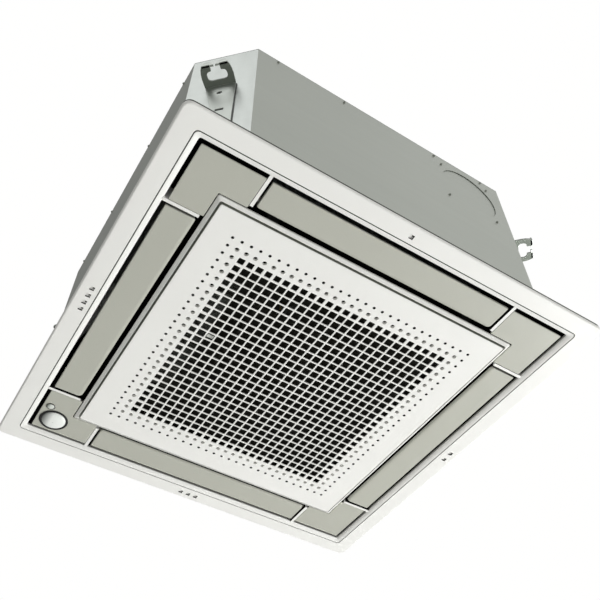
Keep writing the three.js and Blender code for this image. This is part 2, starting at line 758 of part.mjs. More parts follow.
function foamLiner() {
  const inset = casingHalf - casingInner;
  const block = insetOctagon(inset, foamBottom, casingRoof - SEAT_GAP);
  const room = insetOctagon(inset + FOAM_WALL, foamBottom - CUT_PAST, foamCeiling);
  const motorHole = rod(FOAM_TOP_HOLE_RADIUS, foamCeiling - CUT_PAST, casingTop, 0, 0, FINE_SEGMENTS);
  const wall = [casingInner - FOAM_WALL - CUT_PAST, casingInner + CUT_PAST];
  return cut(
    block, room, motorHole,
    rodAlongX(GAS_PIPE_RADIUS + PIPE_HOLE_GAP, ...wall, pipeY, gasPipeZ),
    rodAlongX(LIQUID_PIPE_RADIUS + PIPE_HOLE_GAP, ...wall, pipeY, liquidPipeZ),
    rodAlongX(DRAIN_SOCKET_RADIUS + SEAT_GAP, ...wall, pumpY, drainZ, ROUND_SEGMENTS),
  );
}

function ductBoxes(z0, z1) {
  return SIDES.map((side) => {
    const geometry = new THREE.BoxGeometry(2 * ribInner, ductOuter - ductInner, z1 - z0);
    geometry.translate(0, -(ductOuter + ductInner) / 2, (z0 + z1) / 2);
    geometry.rotateZ(sideTurn(side));
    return solid(geometry);
  });
}

// A foam pan under the coil, with an air slot beside each flap and a sump for the pump.
function drainPan() {
  const block = insetOctagon(casingHalf - casingInner, panBottom, panTop);
  const eye = rod(PAN_HOLE_RADIUS, panBottom - CUT_PAST, panTop + CUT_PAST, 0, 0, FINE_SEGMENTS);
  const islandRadius = COIL_BEND_RADIUS - COIL_DEPTH / 2 - TROUGH_MARGIN;
  const island = roundedSquare(coilInner - TROUGH_MARGIN, islandRadius);
  const trough = cut(
    squareBox(coilOuter + TROUGH_LAP, troughFloor, panTop + CUT_PAST),
    slab(island, troughFloor - CUT_PAST, panTop + 2 * CUT_PAST),
  );
  const sumpEnd = sumpStart + SUMP_SIDE;
  const sump = box(sumpStart, sumpEnd, sumpStart, sumpEnd, panBottom + SUMP_FLOOR, panTop + CUT_PAST);
  const bound = insetOctagon(casingHalf - casingInner + FOAM_WALL, panBottom, panTop + CUT_PAST);
  const airSlots = ductBoxes(panBottom - CUT_PAST, panTop + CUT_PAST);
  return cut(block, eye, trough, sump.intersect(bound), ...airSlots);
}

// The fins run round three corners and stop short of the fourth, where the pipes and the pump are.
function coilFins() {
  const innerBend = COIL_BEND_RADIUS - COIL_DEPTH / 2;
  const outerBend = COIL_BEND_RADIUS + COIL_DEPTH / 2;
  const shape = new THREE.Shape();
  shape.moveTo(coilOuter, coilEnd);
  shape.lineTo(coilInner, coilEnd);
  shape.absarc(coilInner - innerBend, innerBend - coilInner, innerBend, 0, -QUARTER, true);
  shape.absarc(innerBend - coilInner, innerBend - coilInner, innerBend, -QUARTER, -2 * QUARTER, true);
  shape.absarc(innerBend - coilInner, coilInner - innerBend, innerBend, 2 * QUARTER, QUARTER, true);
  shape.lineTo(coilEnd, coilInner);
  shape.lineTo(coilEnd, coilOuter);
  shape.absarc(outerBend - coilOuter, coilOuter - outerBend, outerBend, QUARTER, 2 * QUARTER, false);
  shape.absarc(outerBend - coilOuter, outerBend - coilOuter, outerBend, 2 * QUARTER, 3 * QUARTER, false);
  shape.absarc(coilOuter - outerBend, outerBend - coilOuter, outerBend, -QUARTER, 0, false);
  return slab(shape, coilBottom, coilTop, ARC_STEPS);
}

// The end plate of the coil's right leg, with the return bends of its tubes.
function coilEndPlate() {
  const start = coilEnd + SEAT_GAP;
  const end = start + END_PLATE_THICKNESS;
  const height = [coilBottom, coilTop];
  const plate = box(
    coilInner - END_PLATE_MARGIN, coilOuter + END_PLATE_MARGIN / 2, start, end, ...height,
  );
  const row = (coilInner + coilOuter) / 2 - ROW_SHIFT;
  const lowest = (coilBottom + coilTop) / 2 - (RETURN_BENDS - 1) / 2 * RETURN_PITCH;
  const bends = [];
  for (let i = 0; i < RETURN_BENDS; i += 1) {
    const geometry = new THREE.TorusGeometry(
      RETURN_BEND_RADIUS, RETURN_TUBE_RADIUS, RETURN_TUBE_SIDES, SMALL_SEGMENTS,
    );
    geometry.rotateY(QUARTER);
    geometry.translate(row, end, lowest + i * RETURN_PITCH);
    bends.push(solid(geometry));
  }
  const behind = box(
    coilInner - CUT_PAST, coilOuter + CUT_PAST, start - 2 * RETURN_BEND_RADIUS, start, ...height,
  );
  return cut(fuse(plate, ...bends), behind);
}

// ---------------------------------------------------------------------------------------------
// Fan, motor and bell mouth
// ---------------------------------------------------------------------------------------------

function bellMouth() {
  const half = BELL_PLATE_SIDE / 2;
  const hole = rod(BELL_MOUTH_RADIUS - BELL_WALL / 2, 0, casingTop, 0, 0, FINE_SEGMENTS);
  const plate = cut(slab(roundedSquare(half, PANEL_CORNER_RADIUS), bellPlateBottom, casingBottom), hole);
  const flare = [];
  for (let i = 0; i <= ARC_STEPS; i += 1) {
    const angle = (i / ARC_STEPS) * QUARTER;
    const radius = BELL_MOUTH_RADIUS - (BELL_MOUTH_RADIUS - BELL_THROAT_RADIUS) * Math.sin(angle);
    flare.push([radius, bellPlateBottom + (bellTop - bellPlateBottom) * (1 - Math.cos(angle))]);
  }
  const outside = flare.map(([r, z]) => [r + BELL_WALL, z]).reverse();
  return fuse(plate, turned([...flare, ...outside], 0, 0, FINE_SEGMENTS));
}

function fanBlade(index, top) {
  const inner = [];
  const outer = [];
  const tip = fanRadius - FAN_BLADE_THICKNESS / 2;
  for (let i = 0; i <= FAN_BLADE_STATIONS; i += 1) {
    const share = i / FAN_BLADE_STATIONS;
    const radius = FAN_BLADE_INNER_RADIUS + (tip - FAN_BLADE_INNER_RADIUS) * share;
    const angle = THREE.MathUtils.degToRad(FAN_BLADE_SWEEP) * share;
    const half = FAN_BLADE_THICKNESS / 2 / radius;
    inner.push([radius * Math.cos(angle - half), radius * Math.sin(angle - half)]);
    outer.push([radius * Math.cos(angle + half), radius * Math.sin(angle + half)]);
  }
  const shape = outline([...inner, ...outer.reverse()]);
  const geometry = new THREE.ExtrudeGeometry(shape, { depth: top - fanBottom, bevelEnabled: false });
  geometry.translate(0, 0, fanBottom);
  geometry.rotateZ((index / FAN_BLADES) * FULL_TURN);
  return solid(geometry);
}

// A backward-curved centrifugal wheel: a plate with a sunken hub, blades, and a shroud round its eye.
function turboFan() {
  const plateTop = fanPlateBottom + FAN_PLATE_THICKNESS;
  const hubFloorBottom = hubFloorTop - FAN_PLATE_THICKNESS;
  const bossBottom = hubFloorBottom - FAN_BOSS_DEPTH;
  const bore = SHAFT_RADIUS + SEAT_GAP;
  const disc = turned([
    [bore, bossBottom], [FAN_BOSS_RADIUS, bossBottom], [FAN_BOSS_RADIUS, hubFloorBottom],
    [FAN_HUB_FLOOR_RADIUS, hubFloorBottom], [FAN_HUB_RADIUS, fanPlateBottom], [fanRadius, fanPlateBottom],
    [fanRadius, plateTop], [FAN_HUB_RADIUS - FAN_PLATE_THICKNESS, plateTop],
    [FAN_HUB_FLOOR_RADIUS - FAN_PLATE_THICKNESS, hubFloorTop], [bore, hubFloorTop],
  ], 0, 0, FINE_SEGMENTS);
  const eye = [];
  for (let i = 0; i <= ARC_STEPS; i += 1) {
    const angle = (i / ARC_STEPS) * QUARTER;
    const radius = fanRadius - (fanRadius - FAN_EYE_RADIUS) * Math.cos(angle);
    eye.push([radius, fanBottom + FAN_SHROUD_HEIGHT * Math.sin(angle)]);
  }
  const above = eye.map(([r, z]) => [r, z + FAN_PLATE_THICKNESS]).reverse();
  const shroud = turned([...eye, ...above], 0, 0, FINE_SEGMENTS);
  const below = turned([
    ...eye, [fanRadius + CUT_PAST, fanBottom + FAN_SHROUD_HEIGHT],
    [fanRadius + CUT_PAST, fanBottom - CUT_PAST], [FAN_BLADE_INNER_RADIUS, fanBottom - CUT_PAST],
    [FAN_BLADE_INNER_RADIUS, fanBottom],
  ], 0, 0, FINE_SEGMENTS);
  const blades = [];
  for (let i = 0; i < FAN_BLADES; i += 1) blades.push(cut(fanBlade(i, plateTop - SEAT_GAP), below));
  return fuse(disc, shroud, ...blades);
}

function motorBody() {
  const step = MOTOR_BOSS_HEIGHT;
  return turned([
    [0, motorBottom], [MOTOR_BOSS_RADIUS, motorBottom], [MOTOR_BOSS_RADIUS, motorBottom + step],
    [MOTOR_RADIUS - step, motorBottom + step], [MOTOR_RADIUS, motorBottom + 2 * step],
    [MOTOR_RADIUS, motorTop - SEAT_GAP], [0, motorTop - SEAT_GAP],
  ], 0, 0, FINE_SEGMENTS);
}

function motorShaft() {
  return rod(SHAFT_RADIUS, shaftBottom, motorBottom - SEAT_GAP);
}

function motorBracket() {
  const top = casingRoof - SEAT_GAP;
  const disc = rod(MOTOR_BRACKET_RADIUS, motorTop, motorTop + MOTOR_BRACKET_STEEL, 0, 0, FINE_SEGMENTS);
  const side = MOTOR_BRACKET_LEG_SIDE;
  const legs = [];
  for (let i = 0; i < MOTOR_BRACKET_LEGS; i += 1) {
    const geometry = new THREE.BoxGeometry(side, side, top - motorTop);
    geometry.translate(MOTOR_BRACKET_RADIUS - side, 0, (top + motorTop) / 2);
    geometry.rotateZ((i / MOTOR_BRACKET_LEGS) * FULL_TURN);
    legs.push(solid(geometry));
  }
  return fuse(disc, ...legs);
}

function fanNut() {
  const bossBottom = hubFloorTop - FAN_PLATE_THICKNESS - FAN_BOSS_DEPTH;
  const top = bossBottom - SEAT_GAP;
  const body = rod(FAN_NUT_RADIUS, top - FAN_NUT_HEIGHT, top, 0, 0, NUT_SIDES);
  return cut(body, rod(SHAFT_RADIUS + SEAT_GAP, top - FAN_NUT_HEIGHT - CUT_PAST, top + CUT_PAST));
}

// ---------------------------------------------------------------------------------------------
// Control box, along the left edge of the bell mouth plate
// ---------------------------------------------------------------------------------------------

const boxLeft = -BELL_PLATE_SIDE / 2 + BOX_FROM_EDGE;
const boxRight = boxLeft + BOX_WIDTH;
const boxTop = bellPlateBottom - SEAT_GAP;
const boxBottom = boxTop - BOX_HEIGHT;
const boardTop = boxTop - BOX_STEEL - SEAT_GAP;

function controlBox() {
  const half = BOX_LENGTH / 2;
  return cut(
    box(boxLeft, boxRight, -half, half, boxBottom, boxTop),
    box(
      boxLeft + BOX_STEEL, boxRight - BOX_STEEL, -half + BOX_STEEL, half - BOX_STEEL,
      boxBottom - CUT_PAST, boxTop - BOX_STEEL,
    ),
  );
}

function controlBoxLid() {
  const half = BOX_LENGTH / 2;
  const top = boxBottom - SEAT_GAP;
  const plate = box(boxLeft, boxRight, -half, half, top - BOX_STEEL, top);
  const inset = BOX_STEEL + SEAT_GAP;
  const lipOuter = box(
    boxLeft + inset, boxRight - inset, -half + inset, half - inset, top - BOX_STEEL, top + BOX_LID_LIP,
  );
  const hollow = 2 * inset;
  return fuse(plate, cut(lipOuter, box(
    boxLeft + hollow, boxRight - hollow, -half + hollow, half - hollow, top, top + 2 * BOX_LID_LIP,
  )));
}

function controlBoard() {
  const middle = (boxLeft + boxRight) / 2;
  const start = -BOX_LENGTH / 2 + 2 * BOX_STEEL + BOARD_STANDOFF;
  const bottom = boardTop - BOARD_STANDOFF - BOARD_THICKNESS;
  const left = middle - BOARD_WIDTH / 2;
  const right = middle + BOARD_WIDTH / 2;
  const board = box(left, right, start, start + BOARD_LENGTH, bottom, bottom + BOARD_THICKNESS);
  const standoffs = [left + BOARD_STANDOFF, right - BOARD_STANDOFF].flatMap((x) => (
    [start + BOARD_STANDOFF, start + BOARD_LENGTH - BOARD_STANDOFF].map((y) => (
      rod(BOARD_STANDOFF / 2, bottom, boardTop, x, y, SMALL_SEGMENTS)
    ))
  ));
  const drop = 3 * BOARD_STANDOFF;
  const partSpan = [bottom - drop, bottom + BOARD_THICKNESS];
  const relay = box(left + drop / 2, left + 2 * drop, start + drop, start + 3 * drop, ...partSpan);
  const choke = rod(drop, ...partSpan, middle, start + BOARD_LENGTH - 2 * drop);
  return fuse(board, relay, choke, ...standoffs);
}

function terminalBlock() {
  const middle = (boxLeft + boxRight) / 2;
  const end = BOX_LENGTH / 2 - 2 * BOX_STEEL - BOARD_STANDOFF;
  const start = end - TERMINALS * TERMINAL_PITCH - TERMINAL_WALL;
  const bottom = boardTop - TERMINAL_HEIGHT;
  const across = [middle - TERMINAL_WIDTH / 2, middle + TERMINAL_WIDTH / 2];
  const body = box(...across, start, end, bottom + TERMINAL_WALL_HEIGHT, boardTop);
  const fences = [];
  for (let i = 0; i <= TERMINALS; i += 1) {
    const y = start + i * TERMINAL_PITCH;
    fences.push(box(...across, y, y + TERMINAL_WALL, bottom, boardTop));
  }
  return fuse(body, ...fences);
}

// ---------------------------------------------------------------------------------------------
// Drain pump, float, hose and socket, and the refrigerant pipes
// ---------------------------------------------------------------------------------------------

function drainPump() {
  const plateTop = pumpPlateBottom + PUMP_PLATE_THICKNESS;
  const start = sumpStart - PUMP_PLATE_LAP;
  const end = casingInner - FOAM_WALL - SEAT_GAP;
  const bound = insetOctagon(casingHalf - casingInner + FOAM_WALL + SEAT_GAP, pumpPlateBottom, plateTop);
  const plate = box(start, end, start, end, pumpPlateBottom, plateTop).intersect(bound);
  const motorTopZ = pumpBodyTop + PUMP_MOTOR_HEIGHT;
  const bore = PUMP_INLET_RADIUS - PUMP_INLET_WALL;
  const body = turned([
    [0, pumpPlateBottom], [bore, pumpPlateBottom], [bore, pumpInletBottom],
    [PUMP_INLET_RADIUS, pumpInletBottom],
    [PUMP_INLET_RADIUS, plateTop], [PUMP_RADIUS, plateTop], [PUMP_RADIUS, pumpBodyTop],
    [PUMP_MOTOR_RADIUS, pumpBodyTop], [PUMP_MOTOR_RADIUS, motorTopZ], [0, motorTopZ],
  ], pumpX, pumpY);
  const outletEnd = pumpX + PUMP_RADIUS + PUMP_OUTLET_REACH;
  const outlet = rodAlongX(PUMP_OUTLET_RADIUS, pumpX, outletEnd, pumpY, drainZ);
  const stopTop = floatBottom - SEAT_GAP;
  const stopBottom = stopTop - FLOAT_STOP_THICKNESS;
  const stem = rod(FLOAT_STEM_RADIUS, stopBottom, plateTop, floatX, floatY, SMALL_SEGMENTS);
  const stop = rod(FLOAT_STOP_RADIUS, stopBottom, stopTop, floatX, floatY, SMALL_SEGMENTS);
  return fuse(plate, body, outlet, stem, stop);
}

function pumpImpeller() {
  const top = pumpPlateBottom - SEAT_GAP - PIN_GAP;
  const bottom = top - IMPELLER_HEIGHT;
  const blades = [];
  for (let i = 0; i < IMPELLER_BLADES; i += 1) {
    const geometry = new THREE.BoxGeometry(IMPELLER_RADIUS, IMPELLER_BLADE_THICKNESS, IMPELLER_HEIGHT);
    geometry.translate(IMPELLER_RADIUS / 2, 0, (top + bottom) / 2);
    geometry.rotateZ((i / IMPELLER_BLADES) * FULL_TURN);
    geometry.translate(pumpX, pumpY, 0);
    blades.push(solid(geometry));
  }
  return fuse(rod(IMPELLER_HUB_RADIUS, bottom, top, pumpX, pumpY, SMALL_SEGMENTS), ...blades);
}

function floatRing() {
  const top = floatBottom + FLOAT_HEIGHT;
  const bore = FLOAT_STEM_RADIUS + PIN_GAP;
  const section = [[bore, floatBottom], [FLOAT_RADIUS, floatBottom], [FLOAT_RADIUS, top], [bore, top]];
  return turned(section, floatX, floatY, SMALL_SEGMENTS);
}

const drainSocketInner = casingHalf - SHEET - FOAM_WALL;

function drainHose() {
  const bore = PUMP_OUTLET_RADIUS + SEAT_GAP;
  const start = pumpX + PUMP_RADIUS + SEAT_GAP;
  const end = drainSocketInner - SEAT_GAP;
  return cut(
    rodAlongX(bore + DRAIN_HOSE_WALL, start, end, pumpY, drainZ, ROUND_SEGMENTS),
    rodAlongX(bore, start - CUT_PAST, end + CUT_PAST, pumpY, drainZ),
  );
}

function drainSocket() {
  const end = casingHalf + DRAIN_SOCKET_REACH;
  const collarStart = casingHalf + SEAT_GAP;
  const tube = rodAlongX(DRAIN_SOCKET_RADIUS, drainSocketInner, end, pumpY, drainZ, ROUND_SEGMENTS);
  const collar = rodAlongX(
    DRAIN_COLLAR_RADIUS, collarStart, collarStart + DRAIN_COLLAR_THICKNESS, pumpY, drainZ, ROUND_SEGMENTS,
  );
  const bore = rodAlongX(
    DRAIN_SOCKET_BORE, drainSocketInner - CUT_PAST, end + CUT_PAST, pumpY, drainZ, ROUND_SEGMENTS,
  );
  return cut(fuse(tube, collar), bore);
}

function refrigerantPipe(radius, z) {
  const row = (coilInner + coilOuter) / 2 + ROW_SHIFT;
  const start = coilEnd + 2 * SEAT_GAP + END_PLATE_THICKNESS;
  return tubeAlong([
    new THREE.Vector3(row, start, z),
    new THREE.Vector3(row, pipeY, z),
    new THREE.Vector3(casingHalf + PIPE_REACH, pipeY, z),
  ], PIPE_BEND_RADIUS, radius, radius - PIPE_WALL);
}

function flareNut(radius, z) {
  const end = casingHalf + PIPE_REACH;
  const start = end - FLARE_NUT_LENGTH;
  const body = rodAlongX(radius + FLARE_NUT_WALL, start, end, pipeY, z, NUT_SIDES);
  return cut(body, rodAlongX(radius + SEAT_GAP, start - CUT_PAST, end + CUT_PAST, pipeY, z));
}

function pipePlate() {
  const start = casingHalf + SEAT_GAP;
  const end = start + PIPE_PLATE_THICKNESS;
  const middleZ = (gasPipeZ + liquidPipeZ) / 2;
  const half = PIPE_PLATE_WIDTH / 2;
  const halfHeight = PIPE_PLATE_HEIGHT / 2;
  const plate = box(start, end, pipeY - half, pipeY + half, middleZ - halfHeight, middleZ + halfHeight);
  const span = [start - CUT_PAST, end + CUT_PAST];
  return cut(
    plate,
    rodAlongX(GAS_PIPE_RADIUS + PIN_GAP, ...span, pipeY, gasPipeZ),
    rodAlongX(LIQUID_PIPE_RADIUS + PIN_GAP, ...span, pipeY, liquidPipeZ),
  );
}

// ---------------------------------------------------------------------------------------------
// Panel frame
// ---------------------------------------------------------------------------------------------

function flange() {
  const round = FLANGE_EDGE_ROUND;
  const settings = {
    depth: FLANGE_THICKNESS - 2 * round, bevelEnabled: true, bevelSize: round, bevelThickness: round,
    bevelSegments: 2, curveSegments: CORNER_SEGMENTS,
  };
  const shape = roundedSquare(flangeHalf - round, PANEL_CORNER_RADIUS - round);
  const geometry = new THREE.ExtrudeGeometry(shape, settings);
  geometry.translate(0, 0, flangeBottom + round);
  const upper = slab(roundedSquare(flangeHalf, PANEL_CORNER_RADIUS), flangeBottom / 2, 0);
  const slope = BEVEL_RUN / BEVEL_RISE * CUT_PAST;
  const bevel = squareTaper(openingHalf + slope, ductOuter, flangeBottom - CUT_PAST, bevelTop);
  const rebate = squareBox(collarHalf + SEAT_GAP, -DUCT_REBATE, CUT_PAST);
  const opening = squareBox(ductOuter, bevelTop - CUT_PAST, CUT_PAST);
  return cut(fuse(solid(geometry), upper), bevel, rebate, opening);
}

function frontEndRibs() {
  return [-1, 1].map((hand) => {
    const near = Math.min(hand * ribInner, hand * ribOuter);
    const far = Math.max(hand * ribInner, hand * ribOuter);
    const holeRadius = FLAP_PIN_RADIUS + PIN_GAP;
    const hole = rodAlongX(holeRadius, near - CUT_PAST, far + CUT_PAST, flapAxisY, flapAxisZ);
    const inWall = -ductOuter - CUT_PAST;
    const low = box(near, far, SEAT_GAP - ductOuter, -ductInner, flapPlane, deckTop);
    const rib = cut(fuse(low, box(near, far, inWall, -ductInner, SEAT_GAP, deckTop)), hole);
    return fuse(rib, box(near, far, inWall, -innerWallHalf - CUT_PAST, DECK_BOTTOM, frameTop));
  });
}

function coverPostPlaces() {
  const along = coverEnd + COVER_POST_FROM_END;
  const across = coverHalf - COVER_POST_FROM_EDGE;
  return [[along, across], [across, along]];
}

function turnedPiece(body, turn) {
  const geometry = geometryOf(body);
  geometry.rotateZ(turn);
  return solid(geometry);
}

function hingeHooks() {
  const outer = hookRadius;
  const armTop = INNER_WALL_FOOT + HINGE_ARM_THICKNESS;
  return [-1, 1].map((hand) => {
    const middle = hand * HINGE_SPACING / 2;
    const start = middle - HINGE_HOOK_WIDTH / 2;
    const end = middle + HINGE_HOOK_WIDTH / 2;
    const ring = rodAlongX(outer, start, end, hingeAxisY, hingeAxisZ, ROUND_SEGMENTS);
    const stem = box(start, end, hingeAxisY - outer, hingeAxisY + outer, hingeAxisZ, armTop);
    const arm = box(start, end, hingeAxisY - outer, innerWallHalf + CUT_PAST, INNER_WALL_FOOT, armTop);
    const past = [start - CUT_PAST, end + CUT_PAST];
    const bore = rodAlongX(HINGE_PIN_RADIUS + SEAT_GAP, ...past, hingeAxisY, hingeAxisZ);
    return cut(fuse(ring, stem, arm), bore);
  });
}

// The walls of the air ducts, which stand in a rebate of the flange. The flaps, the covers and the
// grille hang in them.
function ductFrame() {
  const collar = squareRing(collarHalf, ductOuter, SEAT_GAP - DUCT_REBATE, deckTop);
  const deck = cut(
    squareRing(collarHalf, innerWallHalf, DECK_BOTTOM, deckTop),
    ...ductBoxes(DECK_BOTTOM - CUT_PAST, deckTop + CUT_PAST),
  );
  const innerWall = squareRing(ductInner, innerWallHalf, INNER_WALL_FOOT, frameTop);
  const outerWall = box(-ribOuter, ribOuter, -collarHalf, -ductOuter, DECK_BOTTOM, frameTop);
  const posts = coverPostPlaces().map(([x, y]) => (
    rod(COVER_POST_RADIUS, coverTop + SEAT_GAP, DECK_BOTTOM + CUT_PAST, -x, -y, SMALL_SEGMENTS)
  ));
  const repeated = fuse(outerWall, ...frontEndRibs(), ...posts);
  const quarters = SIDES.map((side) => turnedPiece(repeated, sideTurn(side)));
  return fuse(collar, deck, innerWall, ...quarters, ...hingeHooks());
}

function panelSeal() {
  const bottom = frameTop + SEAT_GAP;
  const ring = slab(octagon(collarHalf, collarHalf - ribOuter), bottom, casingBottom);
  const past = [bottom - CUT_PAST, casingBottom + CUT_PAST];
  return cut(ring, squareBox(innerWallHalf, ...past), ...ductBoxes(...past));
}

// ---------------------------------------------------------------------------------------------
// Corner covers and the sensor
// ---------------------------------------------------------------------------------------------

function coverOutline(inset) {
  const near = grilleHalf + COVER_TO_GRILLE + inset;
  const far = coverHalf - inset;
  const end = coverEnd + inset;
  return outline([[-far, -far], [-end, -far], [-end, -near], [-near, -near], [-near, -end], [-far, -end]]);
}

function cornerCover(corner) {
  const plate = slab(coverOutline(0), flapPlane, coverTop);
  const rimTop = coverTop + COVER_RIM_HEIGHT;
  const rim = cut(
    slab(coverOutline(SEAT_GAP), coverTop - SEAT_GAP, rimTop),
    slab(coverOutline(COVER_RIM_THICKNESS), coverTop, rimTop + CUT_PAST),
  );
  const whole = cut(fuse(plate, rim), motorBay(rimTop));
  if (corner !== 'back_left') return whole;
  const past = [flapPlane - CUT_PAST, rimTop + CUT_PAST];
  return cut(
    whole,
    rod(SENSOR_HOLE_RADIUS, ...past, ...drawnCorner(sensorX, sensorY), FINE_SEGMENTS),
    rod(LENS_STEM_RADIUS + SEAT_GAP, ...past, ...drawnCorner(lensX, lensY)),
  );
}

// Room in a cover's rim for the flap motor that stands over the end of one of its legs.
function motorBay(rimTop) {
  const middle = flapAxisY - STEPPER_OFFSET_OUT;
  const reach = STEPPER_RADIUS + PIN_GAP;
  const end = ribOuter + STEPPER_LENGTH + 2 * SEAT_GAP;
  return box(middle - reach, middle + reach, -end, -ribOuter, coverTop, rimTop + CUT_PAST);
}

// A place in the back left corner, turned to where the corner covers are drawn.
function drawnCorner(x, y) {
  return [-y, x];
}

const sensorX = -coverHalf + SENSOR_FROM_EDGE_X;
const sensorY = coverHalf - SENSOR_FROM_EDGE_Y;
const lensX = -coverHalf + LENS_FROM_EDGE_X;
const lensY = coverHalf - LENS_FROM_EDGE_Y;

function sensorRing() {
  const bore = SENSOR_DOME_RADIUS + SEAT_GAP;
  const lipTop = flapPlane - SEAT_GAP;
  const lipBottom = lipTop - SENSOR_RING_LIP;
  const barrel = SENSOR_HOLE_RADIUS - SEAT_GAP;
  const top = flapPlane + SENSOR_DEPTH;
  return turned([
    [bore, lipBottom], [SENSOR_RING_RADIUS - SENSOR_RING_LIP, lipBottom],
    [SENSOR_RING_RADIUS, lipTop], [barrel, lipTop], [barrel, top], [bore, top],
  ], sensorX, sensorY, FINE_SEGMENTS);
}

function domeProfile(radius, bulge, rimZ, stem) {
  const profile = [];
  for (let i = 0; i < ARC_STEPS; i += 1) {
    const angle = (i / (ARC_STEPS - 1)) * QUARTER;
    profile.push([radius * Math.sin(angle), rimZ - bulge * Math.cos(angle)]);
  }
  return [...profile, ...stem];
}

function sensorDome() {
  const top = flapPlane + SENSOR_DEPTH;
  const stem = [[SENSOR_DOME_RADIUS, top], [0, top]];
  const profile = domeProfile(SENSOR_DOME_RADIUS, SENSOR_DOME_BULGE, flapPlane, stem);
  return turned(profile, sensorX, sensorY, FINE_SEGMENTS);
}

function sensorLens() {
  const rim = flapPlane - SEAT_GAP;
  const top = coverTop + COVER_RIM_HEIGHT;
  const stem = [[LENS_STEM_RADIUS, rim], [LENS_STEM_RADIUS, top], [0, top]];
  return turned(domeProfile(LENS_RADIUS, LENS_BULGE, rim, stem), lensX, lensY);
}

// ---------------------------------------------------------------------------------------------
// Flaps and their motors, drawn at the front
// ---------------------------------------------------------------------------------------------

function airFlap() {
  const inner = -flapInner;
  const outer = -coverHalf;
  const top = flapPlane + FLAP_THICKNESS;
  const round = FLAP_EDGE_ROUND;
  const section = outline([
    [outer, flapPlane + round / 2], [outer + round / 2, flapPlane], [inner - round, flapPlane],
    [inner - round / 4, flapPlane + round / 3], [inner, flapPlane + round], [inner - round / 4, top],
    [inner - round, top + FLAP_BEAD_RISE], [inner - 2 * round, top], [outer + round, top],
    [outer, top - round / 2],
  ]);
  const blade = runAlongX(section, -flapHalf, flapHalf);
  const cheeks = [-1, 1].map((hand) => {
    const face = hand * flapHalf;
    const back = hand * (flapHalf - FLAP_CHEEK_THICKNESS);
    const pinEnd = hand * (ribOuter - STEPPER_SHAFT_REACH);
    const start = Math.min(face, back);
    const end = Math.max(face, back);
    const reach = FLAP_CHEEK_RADIUS;
    const boss = rodAlongX(reach, start, end, flapAxisY, flapAxisZ);
    const web = box(start, end, flapAxisY - reach, flapAxisY + reach, top - round / 2, flapAxisZ);
    const pinSpan = [Math.min(back, pinEnd), Math.max(back, pinEnd)];
    return fuse(boss, web, rodAlongX(FLAP_PIN_RADIUS, ...pinSpan, flapAxisY, flapAxisZ));
  });
  return fuse(blade, ...cheeks);
}

function flapStepper() {
  const start = ribOuter + SEAT_GAP;
  const y = flapAxisY - STEPPER_OFFSET_OUT;
  const z = flapAxisZ + STEPPER_OFFSET_UP;
  const can = rodAlongX(STEPPER_RADIUS, start, start + STEPPER_LENGTH, y, z, ROUND_SEGMENTS);
  const shaftStart = ribOuter - STEPPER_SHAFT_REACH + PIN_GAP;
  const shaft = rodAlongX(FLAP_PIN_RADIUS, shaftStart, start + CUT_PAST, flapAxisY, flapAxisZ);
  const reach = STEPPER_EAR_REACH;
  const earEnd = y - STEPPER_RADIUS - reach;
  const ear = box(start, start + STEPPER_EAR_THICKNESS, earEnd, y, z - reach, z + reach);
  return fuse(can, shaft, ear);
}

// ---------------------------------------------------------------------------------------------
// Intake grille, filter and latches
// ---------------------------------------------------------------------------------------------

// Two layers of bars, crosswise, a hair apart, so that the window is square holes seen from below.
function grilleWindow() {
  const pitch = GRILLE_PITCH;
  const half = GRILLE_HOLES * pitch / 2;
  const barHalf = (pitch - GRILLE_RIB) / 2;
  const lowerTop = grilleFace + GRILLE_LAYER;
  const upperBottom = lowerTop + GRILLE_LAYER_GAP;
  const past = GRILLE_LAYER_GAP / 4;
  const tools = [box(-half, half, -half, half, lowerTop, upperBottom)];
  for (let i = 0; i < GRILLE_HOLES; i += 1) {
    const middle = (i - (GRILLE_HOLES - 1) / 2) * pitch;
    const gap = [middle - barHalf, middle + barHalf];
    tools.push(box(-half, half, ...gap, grilleFace - CUT_PAST, lowerTop + past));
    tools.push(box(...gap, -half, half, upperBottom - past, grilleBackZ + CUT_PAST));
  }
  return tools;
}

function hingeLugs() {
  const outer = HINGE_LUG_REACH;
  return [-1, 1].flatMap((hand) => {
    const middle = hand * HINGE_SPACING / 2;
    const reach = HINGE_HOOK_WIDTH / 2 + PIN_GAP;
    const pinSpan = [middle - reach - CUT_PAST, middle + reach + CUT_PAST];
    const pin = rodAlongX(HINGE_PIN_RADIUS, ...pinSpan, hingeAxisY, hingeAxisZ);
    const lugs = [middle - reach - HINGE_LUG_WIDTH, middle + reach].map((start) => box(
      start, start + HINGE_LUG_WIDTH, hingeAxisY - outer, hingeAxisY + outer,
      flapPlane + SEAT_GAP, hingeAxisZ + outer,
    ));
    return [pin, ...lugs];
  });
}

// Notches in the rim, where the hooks of the panel frame go round the pins.
function hingeNotches() {
  const reach = HINGE_HOOK_WIDTH / 2 + PIN_GAP;
  const start = hingeAxisY - hookRadius - PIN_GAP;
  return [-1, 1].map((hand) => {
    const middle = hand * HINGE_SPACING / 2;
    return box(
      middle - reach, middle + reach, start, grilleHalf + CUT_PAST, grilleFace, grilleRimTop + CUT_PAST,
    );
  });
}

const latchBottom = INNER_WALL_FOOT + LATCH_ABOVE_FOOT;
const latchTop = latchBottom + LATCH_THICKNESS;

